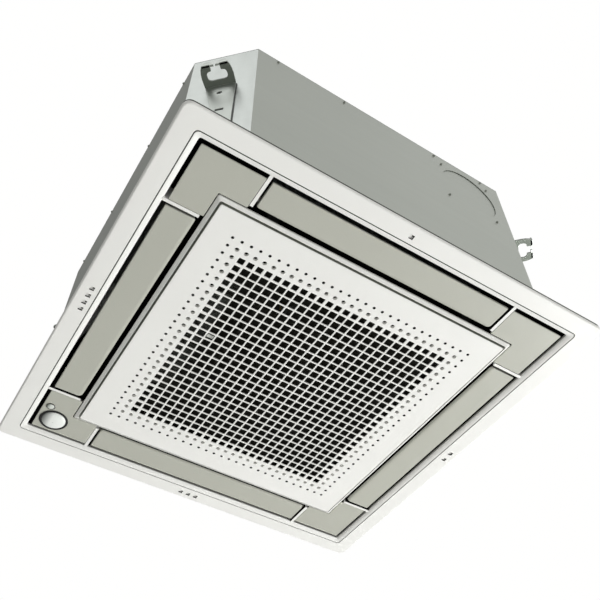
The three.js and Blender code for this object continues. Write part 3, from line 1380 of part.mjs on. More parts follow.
function latchGuides() {
  const outer = -grilleHalf + GRILLE_RIM_THICKNESS;
  const half = LATCH_WIDTH / 2 + SEAT_GAP;
  return [-1, 1].map((hand) => {
    const middle = hand * LATCH_SPACING / 2;
    const reach = half + LATCH_GUIDE_WALL;
    const tower = box(
      middle - reach, middle + reach, outer, outer + LATCH_GUIDE_LENGTH,
      flapPlane + SEAT_GAP, latchTop + SEAT_GAP + LATCH_GUIDE_WALL,
    );
    const tunnel = box(
      middle - half, middle + half, outer - CUT_PAST, outer + LATCH_GUIDE_LENGTH + CUT_PAST,
      latchBottom - SEAT_GAP, latchTop + SEAT_GAP,
    );
    return cut(tower, tunnel);
  });
}

function intakeGrille() {
  const slopeBottom = flapPlane - GRILLE_SLOPE_DROP;
  const body = fuse(
    squareTaper(grilleStepHalf - GRILLE_FACE_INSET, grilleStepHalf, grilleFace, slopeBottom),
    squareTaper(grilleStepHalf, grilleHalf, slopeBottom, flapPlane),
    squareBox(grilleHalf, flapPlane, grilleRimTop),
  );
  const cavity = squareBox(grilleCavityHalf, grilleBackZ, grilleRimTop + CUT_PAST);
  return fuse(cut(body, cavity, ...grilleWindow(), ...hingeNotches()), ...hingeLugs(), ...latchGuides());
}

function airFilter() {
  const bottom = grilleBackZ + SEAT_GAP;
  const half = FILTER_SIDE / 2;
  const frame = squareRing(half, half - FILTER_FRAME_WIDTH, bottom, bottom + FILTER_FRAME_HEIGHT);
  const mesh = squareBox(half - SEAT_GAP, bottom, bottom + FILTER_MESH_THICKNESS);
  const along = [-half + SEAT_GAP, half - SEAT_GAP];
  const height = [bottom, bottom + FILTER_FRAME_HEIGHT - SEAT_GAP];
  const ribs = [];
  for (let i = 1; i < FILTER_CELLS; i += 1) {
    const middle = (i / FILTER_CELLS - 1 / 2) * FILTER_SIDE;
    const across = [middle - FILTER_RIB_WIDTH / 2, middle + FILTER_RIB_WIDTH / 2];
    ribs.push(box(...across, ...along, ...height));
    ribs.push(box(...along, ...across, ...height));
  }
  return fuse(frame, mesh, ...ribs);
}

function grilleLatch(hand) {
  const middle = hand * LATCH_SPACING / 2;
  const tip = -innerWallHalf + LATCH_TIP_GAP;
  const tail = tip + LATCH_TAIL;
  const bar = box(middle - LATCH_WIDTH / 2, middle + LATCH_WIDTH / 2, tip, tail, latchBottom, latchTop);
  const tab = box(
    middle - LATCH_WIDTH / 2, middle + LATCH_WIDTH / 2, tail - LATCH_TAB_LENGTH, tail,
    latchTop - LATCH_TAB_DROP, latchTop,
  );
  return fuse(bar, tab);
}

// ---------------------------------------------------------------------------------------------
// The whole cassette
// ---------------------------------------------------------------------------------------------

place('casing_top', casingRoofPlate(), galvanised);
for (const side of SIDES) place(`casing_side_${side}`, casingSideWall(side), galvanised, sideTurn(side));
for (const corner of CORNERS) {
  place(`casing_corner_${corner}`, casingCornerWall(), galvanised, cornerTurn(corner) - EIGHTH);
  place(`hanger_bracket_${corner}`, hangerBracket(), galvanised, cornerTurn(corner) - EIGHTH);
}

place('foam_liner', foamLiner(), whiteFoam);
place('drain_pan', drainPan(), whiteFoam);
place('coil_fin_pack', coilFins(), aluminiumFin);
place('coil_end_plate', coilEndPlate(), copper);

place('bell_mouth', bellMouth(), fanPlastic);
place('turbo_fan', turboFan(), fanPlastic);
place('fan_motor', motorBody(), motorSteel);
place('fan_motor_shaft', motorShaft(), motorSteel);
place('fan_motor_bracket', motorBracket(), galvanised);
place('fan_nut', fanNut(), brass);

place('control_box', controlBox(), galvanised);
place('control_box_lid', controlBoxLid(), galvanised);
place('control_board', controlBoard(), boardLaminate);
place('terminal_block', terminalBlock(), blackPlastic);

place('drain_pump', drainPump(), palePlastic);
place('pump_impeller', pumpImpeller(), blackPlastic);
place('float_switch', floatRing(), blackPlastic);
place('drain_hose', drainHose(), hoseRubber);
place('drain_socket', drainSocket(), palePlastic);

place('gas_pipe', refrigerantPipe(GAS_PIPE_RADIUS, gasPipeZ), copper);
place('liquid_pipe', refrigerantPipe(LIQUID_PIPE_RADIUS, liquidPipeZ), copper);
place('gas_flare_nut', flareNut(GAS_PIPE_RADIUS, gasPipeZ), brass);
place('liquid_flare_nut', flareNut(LIQUID_PIPE_RADIUS, liquidPipeZ), brass);
place('pipe_plate', pipePlate(), galvanised);

place('panel_frame', flange(), whitePlastic);
place('duct_frame', ductFrame(), whitePlastic);
place('panel_seal', panelSeal(), sealFoam);
for (const corner of CORNERS) {
  place(`corner_cover_${corner}`, cornerCover(corner), greyPlastic, cornerTurn(corner));
}
for (const side of SIDES) {
  place(`air_flap_${side}`, airFlap(), greyPlastic, sideTurn(side));
  place(`flap_motor_${side}`, flapStepper(), motorSteel, sideTurn(side));
}
place('intake_grille', intakeGrille(), whitePlastic);
place('air_filter', airFilter(), filterPlastic);
place('grille_latch_left', grilleLatch(-1), blackPlastic);
place('grille_latch_right', grilleLatch(1), blackPlastic);
place('sensor_ring', sensorRing(), blackPlastic);
place('sensor_dome', sensorDome(), lensPlastic);
place('sensor_lens', sensorLens(), darkLens);

export default cassette;
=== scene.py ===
"""Looks of the ceiling cassette air conditioner: finishes, and the fine shapes over its solids.

Lengths are millimetres, and for the lights metres, in the part's frame: +Z up, and z = 0 at the
underside of the ceiling.
"""

import json
from math import acos, copysign, cos, hypot, pi, radians, sin, sqrt, tan

import bmesh
import bpy
from mathutils import Matrix, Vector

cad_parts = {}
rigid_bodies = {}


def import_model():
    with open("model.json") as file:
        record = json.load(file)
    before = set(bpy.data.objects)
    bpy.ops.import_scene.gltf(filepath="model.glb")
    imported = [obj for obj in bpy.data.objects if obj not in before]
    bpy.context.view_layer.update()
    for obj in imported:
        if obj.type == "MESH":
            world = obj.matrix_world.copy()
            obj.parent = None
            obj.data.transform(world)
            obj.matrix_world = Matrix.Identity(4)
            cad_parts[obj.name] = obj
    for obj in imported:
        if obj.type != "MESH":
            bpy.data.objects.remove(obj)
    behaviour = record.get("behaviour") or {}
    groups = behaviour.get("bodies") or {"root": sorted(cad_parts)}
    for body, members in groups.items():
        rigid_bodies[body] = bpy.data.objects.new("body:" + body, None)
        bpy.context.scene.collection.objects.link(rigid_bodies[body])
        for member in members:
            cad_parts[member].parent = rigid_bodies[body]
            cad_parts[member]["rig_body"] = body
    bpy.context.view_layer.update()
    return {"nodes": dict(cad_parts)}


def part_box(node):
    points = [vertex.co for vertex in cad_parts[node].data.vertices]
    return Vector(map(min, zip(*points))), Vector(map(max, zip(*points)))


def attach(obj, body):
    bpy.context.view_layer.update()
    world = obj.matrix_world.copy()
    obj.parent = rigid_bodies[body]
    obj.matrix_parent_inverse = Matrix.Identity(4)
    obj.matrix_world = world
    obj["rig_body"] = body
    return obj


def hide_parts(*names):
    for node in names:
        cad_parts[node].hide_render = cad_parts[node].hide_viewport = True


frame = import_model()

MM = 0.001
X, Y, Z = range(3)
SIDES = ("front", "right", "back", "left")
CORNERS = ("front_left", "front_right", "back_right", "back_left")
TAU = 2 * pi


def start_of(node, axis):
    """Where a node's box starts along an axis, in millimetres."""
    return round(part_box(node)[0][axis] / MM, 2)


def end_of(node, axis):
    """Where a node's box ends along an axis, in millimetres."""
    return round(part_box(node)[1][axis] / MM, 2)


def middle_of(node, axis):
    return (start_of(node, axis) + end_of(node, axis)) / 2


# --- Camera, light and stage ---

TARGET = Vector((-60.963, -140.827, -8.0)) * MM
DISTANCE = 993.0 * MM
AZIMUTH = -32.455
ELEVATION = -50.670
ROLL = -0.398
LENS = 46.49


def looking_at(target, azimuth, elevation, reach, roll=0.0):
    """The place of something that looks at a point. Angles are in degrees, lengths in metres."""
    azimuth, elevation, roll = (radians(angle) for angle in (azimuth, elevation, roll))
    flat = cos(elevation)
    back = Vector((sin(azimuth) * flat, -cos(azimuth) * flat, sin(elevation)))
    right = (-back).cross(Vector((0, 0, 1))).normalized()
    up = right.cross(-back)
    turned_right = right * cos(roll) + up * sin(roll)
    turned_up = up * cos(roll) - right * sin(roll)
    turn = Matrix((turned_right, turned_up, back)).transposed().to_4x4()
    return Matrix.Translation(target + back * reach) @ turn


def placed(name, data):
    """A new object in the scene."""
    made = bpy.data.objects.new(name, data)
    bpy.context.scene.collection.objects.link(made)
    return made


def make_camera():
    data = bpy.data.cameras.new("view")
    data.lens = LENS
    data.sensor_width = 36
    data.clip_start = 0.05
    data.clip_end = 60
    camera = placed("view", data)
    camera.matrix_world = looking_at(TARGET, AZIMUTH, ELEVATION, DISTANCE, ROLL)
    bpy.context.scene.camera = camera


def area_light(name, azimuth, elevation, reach, size, watts):
    """A square light that looks at the origin, from degrees round and up, and metres away."""
    data = bpy.data.lights.new(name, "AREA")
    data.shape = "SQUARE"
    data.size = size
    data.energy = watts
    placed(name, data).matrix_world = looking_at(Vector((0, 0, 0)), azimuth, elevation, reach)


def add_node(tree, kind, inputs=None, **settings):
    """A shader node. Each input is a plain value or another node's output."""
    made = tree.nodes.new(kind)
    for key, value in settings.items():
        setattr(made, key, value)
    for socket, value in (inputs or {}).items():
        if isinstance(value, bpy.types.NodeSocket):
            tree.links.new(value, made.inputs[socket])
        else:
            made.inputs[socket].default_value = value
    return made


BRIGHT_WAY = (0.85, -0.53, 0.0)
ROOM_COLOR = (1, 1, 0.995, 1)


def make_world(seen, dim, bright):
    """A plain pale room. The light that it casts grows evenly toward one side."""
    world = bpy.data.worlds.new("studio")
    bpy.context.scene.world = world
    world.use_nodes = True
    tree = world.node_tree
    tree.nodes.clear()
    way = {0: add_node(tree, "ShaderNodeTexCoord").outputs["Generated"], 1: BRIGHT_WAY}
    along = add_node(tree, "ShaderNodeVectorMath", way, operation="DOT_PRODUCT").outputs["Value"]
    limits = {"Value": along, "From Min": -1, "From Max": 1, "To Min": dim, "To Max": bright}
    cast = add_node(tree, "ShaderNodeMapRange", limits).outputs[0]
    parts = {0: add_node(tree, "ShaderNodeLightPath").outputs["Is Camera Ray"]}
    for socket, strength in ((1, cast), (2, seen)):
        shade = add_node(tree, "ShaderNodeBackground", {"Color": ROOM_COLOR, "Strength": strength})
        parts[socket] = shade.outputs[0]
    mix = add_node(tree, "ShaderNodeMixShader", parts)
    add_node(tree, "ShaderNodeOutputWorld", {"Surface": mix.outputs[0]})


# --- Finishes ---


class Finish:
    """A Principled material whose colour, roughness and bump come from procedural textures."""

    def __init__(self, name, color, rough, metal=0.0, **shader):
        self.material = bpy.data.materials.new(name)
        self.material.use_nodes = True
        self.material.diffuse_color = (*color, 1)
        self.tree = self.material.node_tree
        self.shader = self.tree.nodes["Principled BSDF"]
        self.shader.inputs["Metallic"].default_value = metal
        self.shader.inputs["Roughness"].default_value = rough
        for socket, value in shader.items():
            self.shader.inputs[socket.replace("_", " ")].default_value = value
        self.place = self.node("ShaderNodeTexCoord").outputs["Object"]
        self.rgb = self.node("ShaderNodeRGB").outputs[0]
        self.rgb.default_value = (*color, 1)
        self.rough = None
        self.rough_base = rough
        self.bump = None

    def node(self, kind, inputs=None, **settings):
        return add_node(self.tree, kind, inputs, **settings)

    def stretched(self, scale):
        return self.node("ShaderNodeMapping", {"Scale": scale, "Vector": self.place}).outputs[0]

    def noise(self, scale, detail=3.0, along=(1, 1, 1)):
        inputs = {"Scale": scale, "Detail": detail, "Vector": self.stretched(along)}
        return self.node("ShaderNodeTexNoise", inputs).outputs["Fac"]

    def cells(self, scale, feature="F1", output="Color"):
        inputs = {"Scale": scale, "Vector": self.stretched((1, 1, 1))}
        return self.node("ShaderNodeTexVoronoi", inputs, feature=feature).outputs[output]

    def ramp(self, source, low, high, from_low=0.3, from_high=0.7):
        limits = {"From Min": from_low, "From Max": from_high, "To Min": low, "To Max": high}
        return self.node("ShaderNodeMapRange", {"Value": source, **limits}, clamp=True).outputs[0]

    def gray(self, color_output):
        return self.node("ShaderNodeRGBToBW", {0: color_output}).outputs[0]

    def mix(self, share, other):
        """Mixes another colour into the finish. share is a texture from 0 to 1."""
        inputs = {"Factor": share, 6: self.rgb, 7: (*other, 1)}
        self.rgb = self.node("ShaderNodeMix", inputs, data_type="RGBA").outputs[2]
        return self

    def shade(self, amount):
        """Multiplies the colour by a texture near 1."""
        inputs = {"Factor": 1, 6: self.rgb, 7: amount}
        made = self.node("ShaderNodeMix", inputs, data_type="RGBA", blend_type="MULTIPLY")
        self.rgb = made.outputs[2]
        return self

    def vary(self, scale, detail, low, high, along=(1, 1, 1)):
        """Varies the brightness from low to high, in soft patches."""
        return self.shade(self.ramp(self.noise(scale, detail, along), low, high))

    def roughen(self, texture, spread, from_low=0.3, from_high=0.7):
        low, high = self.rough_base - spread, self.rough_base + spread
        self.rough = self.ramp(texture, max(low, 0.02), min(high, 1), from_low, from_high)
        return self

    def bumped(self, texture, strength, depth=0.2):
        inputs = {"Strength": strength, "Distance": depth * MM, "Height": texture}
        if self.bump is not None:
            inputs["Normal"] = self.bump
        self.bump = self.node("ShaderNodeBump", inputs).outputs["Normal"]
        return self

    def worn(self, color, amount, radius=0.8):
        """Edge wear: where the surface bends within radius, the colour moves to another one."""
        rounded_off = self.node("ShaderNodeBevel", {"Radius": radius * MM}, samples=4).outputs[0]
        plain = self.node("ShaderNodeNewGeometry").outputs["Normal"]
        turn = self.node("ShaderNodeVectorMath", {0: rounded_off, 1: plain}, operation="DOT_PRODUCT")
        bend = self.ramp(turn.outputs["Value"], amount, 0, 0.75, 0.99)
        patches = self.ramp(self.noise(120, 4), 0.15, 1, 0.35, 0.6)
        patchy = self.node("ShaderNodeMath", {0: bend, 1: patches}, operation="MULTIPLY")
        return self.mix(patchy.outputs[0], color)

    def done(self):
        for socket, source in (("Base Color", self.rgb), ("Roughness", self.rough), ("Normal", self.bump)):
            if source is not None:
                self.tree.links.new(source, self.shader.inputs[socket])
        return self.material


def linear(code):
    """A colour from its six hexadecimal digits, as linear light."""
    parts = [int(code[i:i + 2], 16) / 255 for i in (0, 2, 4)]
    return tuple(c / 12.92 if c <= 0.04045 else ((c + 0.055) / 1.055) ** 2.4 for c in parts)


def moulded(name, code, rough=0.5, mottle=0.02, edge=None, **shader):
    """Moulded plastic with a fine spark-eroded grain, faint flow marks and rubbed edges."""
    made = Finish(name, linear(code), rough, **shader)
    made.vary(5, 2, 1 - mottle, 1 + mottle / 2)
    made.vary(900, 2, 1 - mottle / 2, 1 + mottle / 3)
    if edge:
        made.worn(linear(edge), 0.5)
    made.roughen(made.noise(40, 4), 0.07)
    return made.bumped(made.noise(2400, 2), 0.22, 0.12).bumped(made.noise(24, 2), 0.1, 0.3).done()


def zinc_sheet(name, code, rough=0.42, metal=0.85, brushed=0.0, edge="C4C8C1"):
    """Zinc-coated sheet: faint crystal spangle, rolling lines and rubbed edges."""
    made = Finish(name, linear(code), rough, metal)
    spangle = made.gray(made.cells(150))
    made.shade(made.ramp(spangle, 0.975, 1.015, 0.2, 0.8))
    made.vary(4, 2, 0.975, 1.02)
    made.vary(90, 2, 0.985, 1.01, (0.03, 0.03, 1))
    made.worn(linear(edge), 0.5, 0.6)
    if brushed:
        made.shade(made.ramp(made.noise(34, 4, (1, 1, 0.16)), 1 - brushed, 1 + brushed / 2, 0.35, 0.65))
    made.roughen(spangle, 0.035, 0.2, 0.8)
    return made.bumped(made.noise(5, 1), 0.12, 0.8).bumped(made.noise(1100, 2), 0.1, 0.05).done()


def bead_foam(name, code):
    """Expanded bead foam, with the seams between its beads."""
    made = Finish(name, linear(code), 0.88)
    beads = made.cells(260, "DISTANCE_TO_EDGE", "Distance")
    made.shade(made.ramp(beads, 0.86, 1.0, 0.0, 0.12))
    made.vary(12, 3, 0.95, 1.02)
    made.roughen(made.noise(60, 2), 0.06)
    return made.bumped(beads, 0.55, 0.5).done()


def soft_foam(name, code):
    """Open-pored foam that hardly shines."""
    made = Finish(name, linear(code), 0.96, Specular_IOR_Level=0.1)
    pores = made.cells(900, "F1", "Distance")
    made.shade(made.ramp(pores, 0.55, 1.25, 0.1, 0.8))
    made.roughen(made.noise(200, 2), 0.04)
    return made.bumped(pores, 0.8, 0.5).done()


def drawn_metal(name, code, tarnish, rough=0.32, along=(1, 1, 1), share=0.5):
    """Tube or turned metal, with tarnish in patches and fine drawing lines."""
    made = Finish(name, linear(code), rough, 1.0)
    made.mix(made.ramp(made.noise(38, 5), 0, share, 0.45, 0.72), linear(tarnish))
    made.vary(260, 3, 0.86, 1.08, along)
    made.worn(linear("E8D8C4"), 0.35, 0.5)
    made.roughen(made.noise(90, 4), 0.12)
    return made.bumped(made.noise(700, 2, along), 0.2, 0.08).done()


def fin_metal(name, code):
    """A pack of thin fins, as fine upright lines."""
    made = Finish(name, linear(code), 0.36, 0.9)
    made.vary(240, 2, 0.72, 1.12, (1, 1, 0.04))
    made.vary(10, 3, 0.9, 1.04)
    made.roughen(made.noise(50, 3), 0.1)
    return made.bumped(made.noise(500, 1, (1, 1, 0.1)), 0.3, 0.1).done()


def glossy_lens(name, code, edge_code, rough=0.08, side_shade=None):
    """A moulded lens. side_shade is painted shade: a darker colour toward -X, and where along X it starts
    and ends.
    """
    made = Finish(name, linear(code), rough, Coat_Weight=0.6, Coat_Roughness=0.03)
    made.mix(made.ramp(made.noise(55, 2), 0, 0.2), linear(edge_code))
    if side_shade:
        shade_tone, start, end = side_shade
        parts = made.node("ShaderNodeSeparateXYZ", {0: made.place})
        made.mix(made.ramp(parts.outputs["X"], 0, 1, start * MM, end * MM), linear(shade_tone))
    made.vary(700, 2, 0.97, 1.02)
    made.roughen(made.noise(300, 3), 0.03)
    return made.bumped(made.noise(60, 1), 0.04, 0.2).done()


def circuit_board(name):
    made = Finish(name, linear("2F6B42"), 0.45)
    tracks = made.gray(made.cells(210, "F1", "Color"))
    made.mix(made.ramp(tracks, 0, 0.55, 0.55, 0.6), linear("4C8A5B"))
    pads = made.cells(420, "DISTANCE_TO_EDGE", "Distance")
    made.mix(made.ramp(pads, 0.35, 0, 0.0, 0.05), linear("8FA878"))
    made.roughen(made.noise(80, 2), 0.08)
    return made.bumped(tracks, 0.2, 0.1).done()


WHITE = moulded("white_plastic", "F1F1ED", 0.44, 0.012, "FAFAF7")
GREY = moulded("grey_plastic", "B8B9AE", 0.46, 0.02, "CBCCC3")
BLACK = moulded("black_plastic", "232421", 0.42, 0.12, "3B3C38")
DARK_FAN = moulded("fan_plastic", "2B2D2E", 0.5, 0.06, "4A4D4F")
PALE_PLASTIC = moulded("pale_plastic", "D6D8D2", 0.46, 0.03, "E4E6E0")
FILTER = moulded("filter_plastic", "16150D", 0.8, 0.2, Specular_IOR_Level=0.15)
# Painted shade: the dark grey that the floor and inner wall of the flange's groove take.
GROOVE_SHADE = moulded("groove_painted_shade", "55574F", 0.7, 0.06)
# Painted shade: the dark grey of the marks' pocket walls and of the strip above the flange's lip.
POCKET_SHADE = moulded("pocket_painted_shade", "3E403A", 0.7, 0.08)
LENS_RIM = glossy_lens("lens_rim", "2C2F2A", "3D413B", 0.14)
ZINC = zinc_sheet("zinc_sheet", "BCC0B8")
# Painted light: a brighter, brushed copy of the zinc sheet for the corner walls.
ZINC_LIT = zinc_sheet("zinc_sheet_painted_light", "CDD2CE", 0.4, 0.8, 0.07)
ZINC_BRACKET = zinc_sheet("zinc_bracket", "BEC3BD", 0.4, 0.85)
# Painted shade: a dark copy of the zinc for the knock-out's cut, the screw recesses, the top's edges and
# the hanger lugs.
ZINC_SHADE = zinc_sheet("zinc_painted_shade", "747B71", 0.55, 0.15, edge="949A92")
SCREW = drawn_metal("screw_steel", "9FA29A", "84877F", 0.5)
FOAM = bead_foam("white_foam", "EDEDE8")
SEAL = soft_foam("seal_foam", "2B2B28")
FIN = fin_metal("aluminium_fin", "BFC3C5")
COPPER = drawn_metal("copper", "C07A4E", "6E4530")
BRASS = drawn_metal("brass", "C9A95B", "8A6E35", 0.28)
# Painted shade: a near-black foam colour for the inside of the duct, the rims of the covers and the
# underside of the drain pan.
DUCT_SHADE = soft_foam("duct_painted_shade", "121210")
RING_BLACK = moulded("ring_black", "060605", 0.6, 0.12, "161614")
# Painted shade: the grey of the groove round the grille's face.
GRILLE_GROOVE_SHADE = moulded("grille_groove_painted_shade", "82847B", 0.7, 0.06)
STEEL = drawn_metal("motor_steel", "9A9E9A", "6B6E6B", 0.42, (1, 1, 0.1), 0.35)
LAMINATE = circuit_board("laminate")
# Painted shade: both lenses are darker toward -X.
LENS_PALE = glossy_lens("pale_lens", "F4F7F3", "E2E7E1", side_shade=("2E352D", -250, -265))
LENS_SMALL = glossy_lens("small_lens", "DDE2DB", "B9C1B6", side_shade=("5A6358", -260, -265.5))
HOSE = moulded("hose_rubber", "5C5E5A", 0.62, 0.08)


# --- Mesh code ---


class Form:
    """Points and faces that become one mesh. ink is the index of a face's finish."""

    def __init__(self):
        self.points = []
        self.faces = []
        self.inks = []

    def add(self, points, faces, ink=0):
        start = len(self.points)
        self.points += [Vector(p) for p in points]
        self.faces += [[start + i for i in face] for face in faces]
        self.inks += [ink] * len(faces)
        return self

    def loft(self, rings, wrap=False, caps=True, ink=0, dark=(), dark_ink=1):
        """Closed rings of as many points each, joined by quads. wrap joins the last to the first.

        dark lists the spans, counted from the first ring, that take dark_ink instead of ink.
        """
        count = len(rings[0])
        faces = []
        inks = []
        for i in range(len(rings) if wrap else len(rings) - 1):
            a, b = i * count, (i + 1) % len(rings) * count
            for j in range(count):
                k = (j + 1) % count
                faces.append((a + j, a + k, b + k, b + j))
                inks.append(dark_ink if i in dark else ink)
        if caps and not wrap:
            faces.append(tuple(reversed(range(count))))
            faces.append(tuple(range((len(rings) - 1) * count, len(rings) * count)))
            inks += [ink, ink]
        self.add([p for ring in rings for p in ring], faces, ink)
        self.inks[-len(inks):] = inks
        return self

    def box(self, x0, x1, y0, y1, z0, z1, ink=0):
        ring = ((x0, y0), (x1, y0), (x1, y1), (x0, y1))
        return self.loft([[(x, y, z) for x, y in ring] for z in (z0, z1)], ink=ink)

    def moved(self, matrix):
        made = Form().join(self)
        made.points = [matrix @ p for p in self.points]
        return made

    def join(self, other):
        start = len(self.points)
        self.points += other.points
        self.faces += [[start + i for i in face] for face in other.faces]
        self.inks += other.inks
        return self


def lathe(profile, x=0.0, y=0.0, segments=48, ink=0):
    """Turns a closed outline of (radius, z) points about an upright axis."""
    points = []
    for i in range(segments):
        angle = TAU * i / segments
        c, s = cos(angle), sin(angle)
        points += [(x + r * c, y + r * s, z) for r, z in profile]
    count = len(profile)
    faces = []
    for i in range(segments):
        a, b = i * count, (i + 1) % segments * count
        faces += [(a + j, b + j, b + (j + 1) % count, a + (j + 1) % count) for j in range(count)]
    return Form().add(points, faces, ink)


def arc(cx, cz, radius, start, end, steps=5):
    """Points of an arc, with its angles in degrees."""
    turns = [radians(start + (end - start) * i / steps) for i in range(steps + 1)]
    return [(cx + radius * cos(turn), cz + radius * sin(turn)) for turn in turns]


def rounded(corners, radii, steps=5):
    """A polygon with its corners rounded. radii is one number or one for each corner."""
    count = len(corners)
    if isinstance(radii, (int, float)):
        radii = [radii] * count
    made = []
    for i, corner in enumerate(corners):
        here = Vector(corner)
        before = (Vector(corners[i - 1]) - here).normalized()
        after = (Vector(corners[(i + 1) % count]) - here).normalized()
        half = acos(max(-1, min(1, before.dot(after)))) / 2
        run = max(radii[i], 0.01) / tan(half)
        start, end = here + before * run, here + after * run
        for k in range(steps + 1):
            t = k / steps
            made.append(tuple(start * (1 - t) ** 2 + here * 2 * t * (1 - t) + end * t ** 2))
    return made


def square(half, radius, z, steps=6):
    half_corners = [(-half, -half), (half, -half), (half, half), (-half, half)]
    return [(x, y, z) for x, y in rounded(half_corners, radius, steps)]


def bar(start, end, radius, sides, ink=0):
    """A round bar from one point to another."""
    start, end = Vector(start), Vector(end)
    ahead = (end - start).normalized()
    side = ahead.orthogonal().normalized()
    other = ahead.cross(side)
    turns = [TAU * k / sides for k in range(sides)]
    rings = [[here + (side * cos(t) + other * sin(t)) * radius for t in turns] for here in (start, end)]
    return Form().loft(rings, ink=ink)


def about_z(degrees):
    return Matrix.Rotation(radians(degrees), 4, "Z")


def make_mesh(name, form):
    mesh = bpy.data.meshes.new(name)
    mesh.from_pydata([p * MM for p in form.points], [], form.faces)
    mesh.polygons.foreach_set("material_index", form.inks)
    return mesh


# Points closer than this are joined.
DOUBLED = 0.0005


def soften(mesh, bevel=0.0, sharp=35, flatten=False):
    """Joins doubled points, turns faces outward, rounds sharp edges and sets smooth shading."""
    work = bmesh.new()
    work.from_mesh(mesh)
    bmesh.ops.remove_doubles(work, verts=work.verts, dist=DOUBLED * MM)
    if flatten:
        bmesh.ops.dissolve_limit(work, angle_limit=radians(1), verts=work.verts, edges=work.edges)
    bmesh.ops.recalc_face_normals(work, faces=work.faces)
    if bevel:
        keen = [
            e for e in work.edges
            if len(e.link_faces) == 2 and e.calc_face_angle(0) > radians(sharp)
        ]
        bmesh.ops.bevel(
            work, geom=keen, offset=bevel * MM, offset_type="OFFSET", segments=2,
            profile=0.5, affect="EDGES", clamp_overlap=True,
        )
    work.to_mesh(mesh)
    work.free()
    mesh.shade_smooth()
    mesh.set_sharp_from_angle(angle=radians(sharp))


def joined(*meshes):
    """The first mesh, with the others added to it."""
    work = bmesh.new()
    for mesh in meshes:
        work.from_mesh(mesh)
    work.to_mesh(meshes[0])
    work.free()
    return meshes[0]


def show(name, mesh, looks, body="cassette", stands_for=None):
    inks = [0] * len(mesh.polygons)
    mesh.polygons.foreach_get("material_index", inks)
    mesh.materials.clear()
    for look in looks:
        mesh.materials.append(look)
    mesh.polygons.foreach_set("material_index", inks)
    made = placed(name, mesh)
    even = made.modifiers.new("even_normals", "WEIGHTED_NORMAL")
    even.keep_sharp = True
    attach(made, body)
    if stands_for:
        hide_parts(stands_for)


def piece(name, form, looks, body="cassette"):
    """A piece of detail that no node has."""
    mesh = make_mesh(name, form)
    soften(mesh)
    show(name, mesh, looks, body)


def stand_in(node, mesh, looks):
    """A finer mesh in the place of the node's own solid, on the same body."""
    show(node + "_shown", mesh, looks, frame["nodes"][node]["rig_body"], node)


def stand_in_form(node, form, looks, bevel=0.0):
    mesh = make_mesh(node + "_shown", form)
    soften(mesh, bevel)
    stand_in(node, mesh, looks)


def solid_of(node):
    """A copy of the node's own mesh."""
    mesh = frame["nodes"][node].data.copy()
    if "custom_normal" in mesh.attributes:
        mesh.attributes.remove(mesh.attributes["custom_normal"])
    return mesh


def carved(mesh, cutters):
    """The mesh with other forms cut out of it."""
    keep = placed("carve_work", mesh)
    tool_mesh = make_mesh("carve_tool", cutters)
    soften(tool_mesh)
    tool = placed("carve_tool", tool_mesh)
    step = keep.modifiers.new("carve", "BOOLEAN")
    step.operation = "DIFFERENCE"
    step.solver = "EXACT"
    step.object = tool
    shaped = keep.evaluated_get(bpy.context.evaluated_depsgraph_get())
    made = bpy.data.meshes.new_from_object(shaped)
    bpy.data.objects.remove(keep)
    bpy.data.objects.remove(tool)
    return made


DRESSED_SHARP = 38


def dressed(node, look, bevel=0.4, extra=None, other=None, where=None):
    """The node's own solid with its edges rounded, and any added detail in the same piece.

    other is a second finish, for the extra's ink 1 and for the faces that where(middle) picks.
    """
    mesh = solid_of(node)
    mesh.name = node + "_shown"
    soften(mesh, bevel, DRESSED_SHARP, flatten=True)
    inks = [int(bool(where and where(face.center / MM))) for face in mesh.polygons]
    mesh.polygons.foreach_set("material_index", inks)
    if extra:
        added = make_mesh("added", extra)
        soften(added, sharp=DRESSED_SHARP)
        joined(mesh, added).set_sharp_from_angle(angle=radians(DRESSED_SHARP))
    stand_in(node, mesh, [look, other or look])


# --- Panel: flange, corner covers, flaps and sensor ---

FLANGE_HALF = end_of("panel_frame", X)
FLANGE_BOTTOM = start_of("panel_frame", Z)
DUCT_WALL = 3.0
DUCT_HALF = end_of("duct_frame", X) - DUCT_WALL
COVER_HALF = end_of("corner_cover_back_right", X)
COVER_END = start_of("corner_cover_back_right", X)
GRILLE_HALF = end_of("intake_grille", X)
COVER_NEAR = GRILLE_HALF + 1.2
FLAP_INNER = GRILLE_HALF + 5.7
FLAP_PLANE = start_of("air_flap_front", Z)
STUB_END = end_of("air_flap_front", X)
FLAP_HALF = STUB_END - 4.7

LIP_STEP = 0.8
LIP_TOP = -4.3
LIP_ROUND = 3.2
GROOVE_OUTER = 284.8
GROOVE_INNER = 283.4
BEVEL_FOOT = 276.0
GROOVE_FLOOR = FLANGE_BOTTOM + 1.8
MARK_HALF = 3.1
MARK_FLOOR = FLANGE_BOTTOM + 2.2
# One to four square marks lie beside each flap.
MARK_PLACES = (
    (1, -294.5), (297, -4.5), (297, 11), (-12, 297), (1, 297), (14, 297),
    (-294, -17.5), (-294, -4.5), (-294, 8.5), (-294, 21),
)


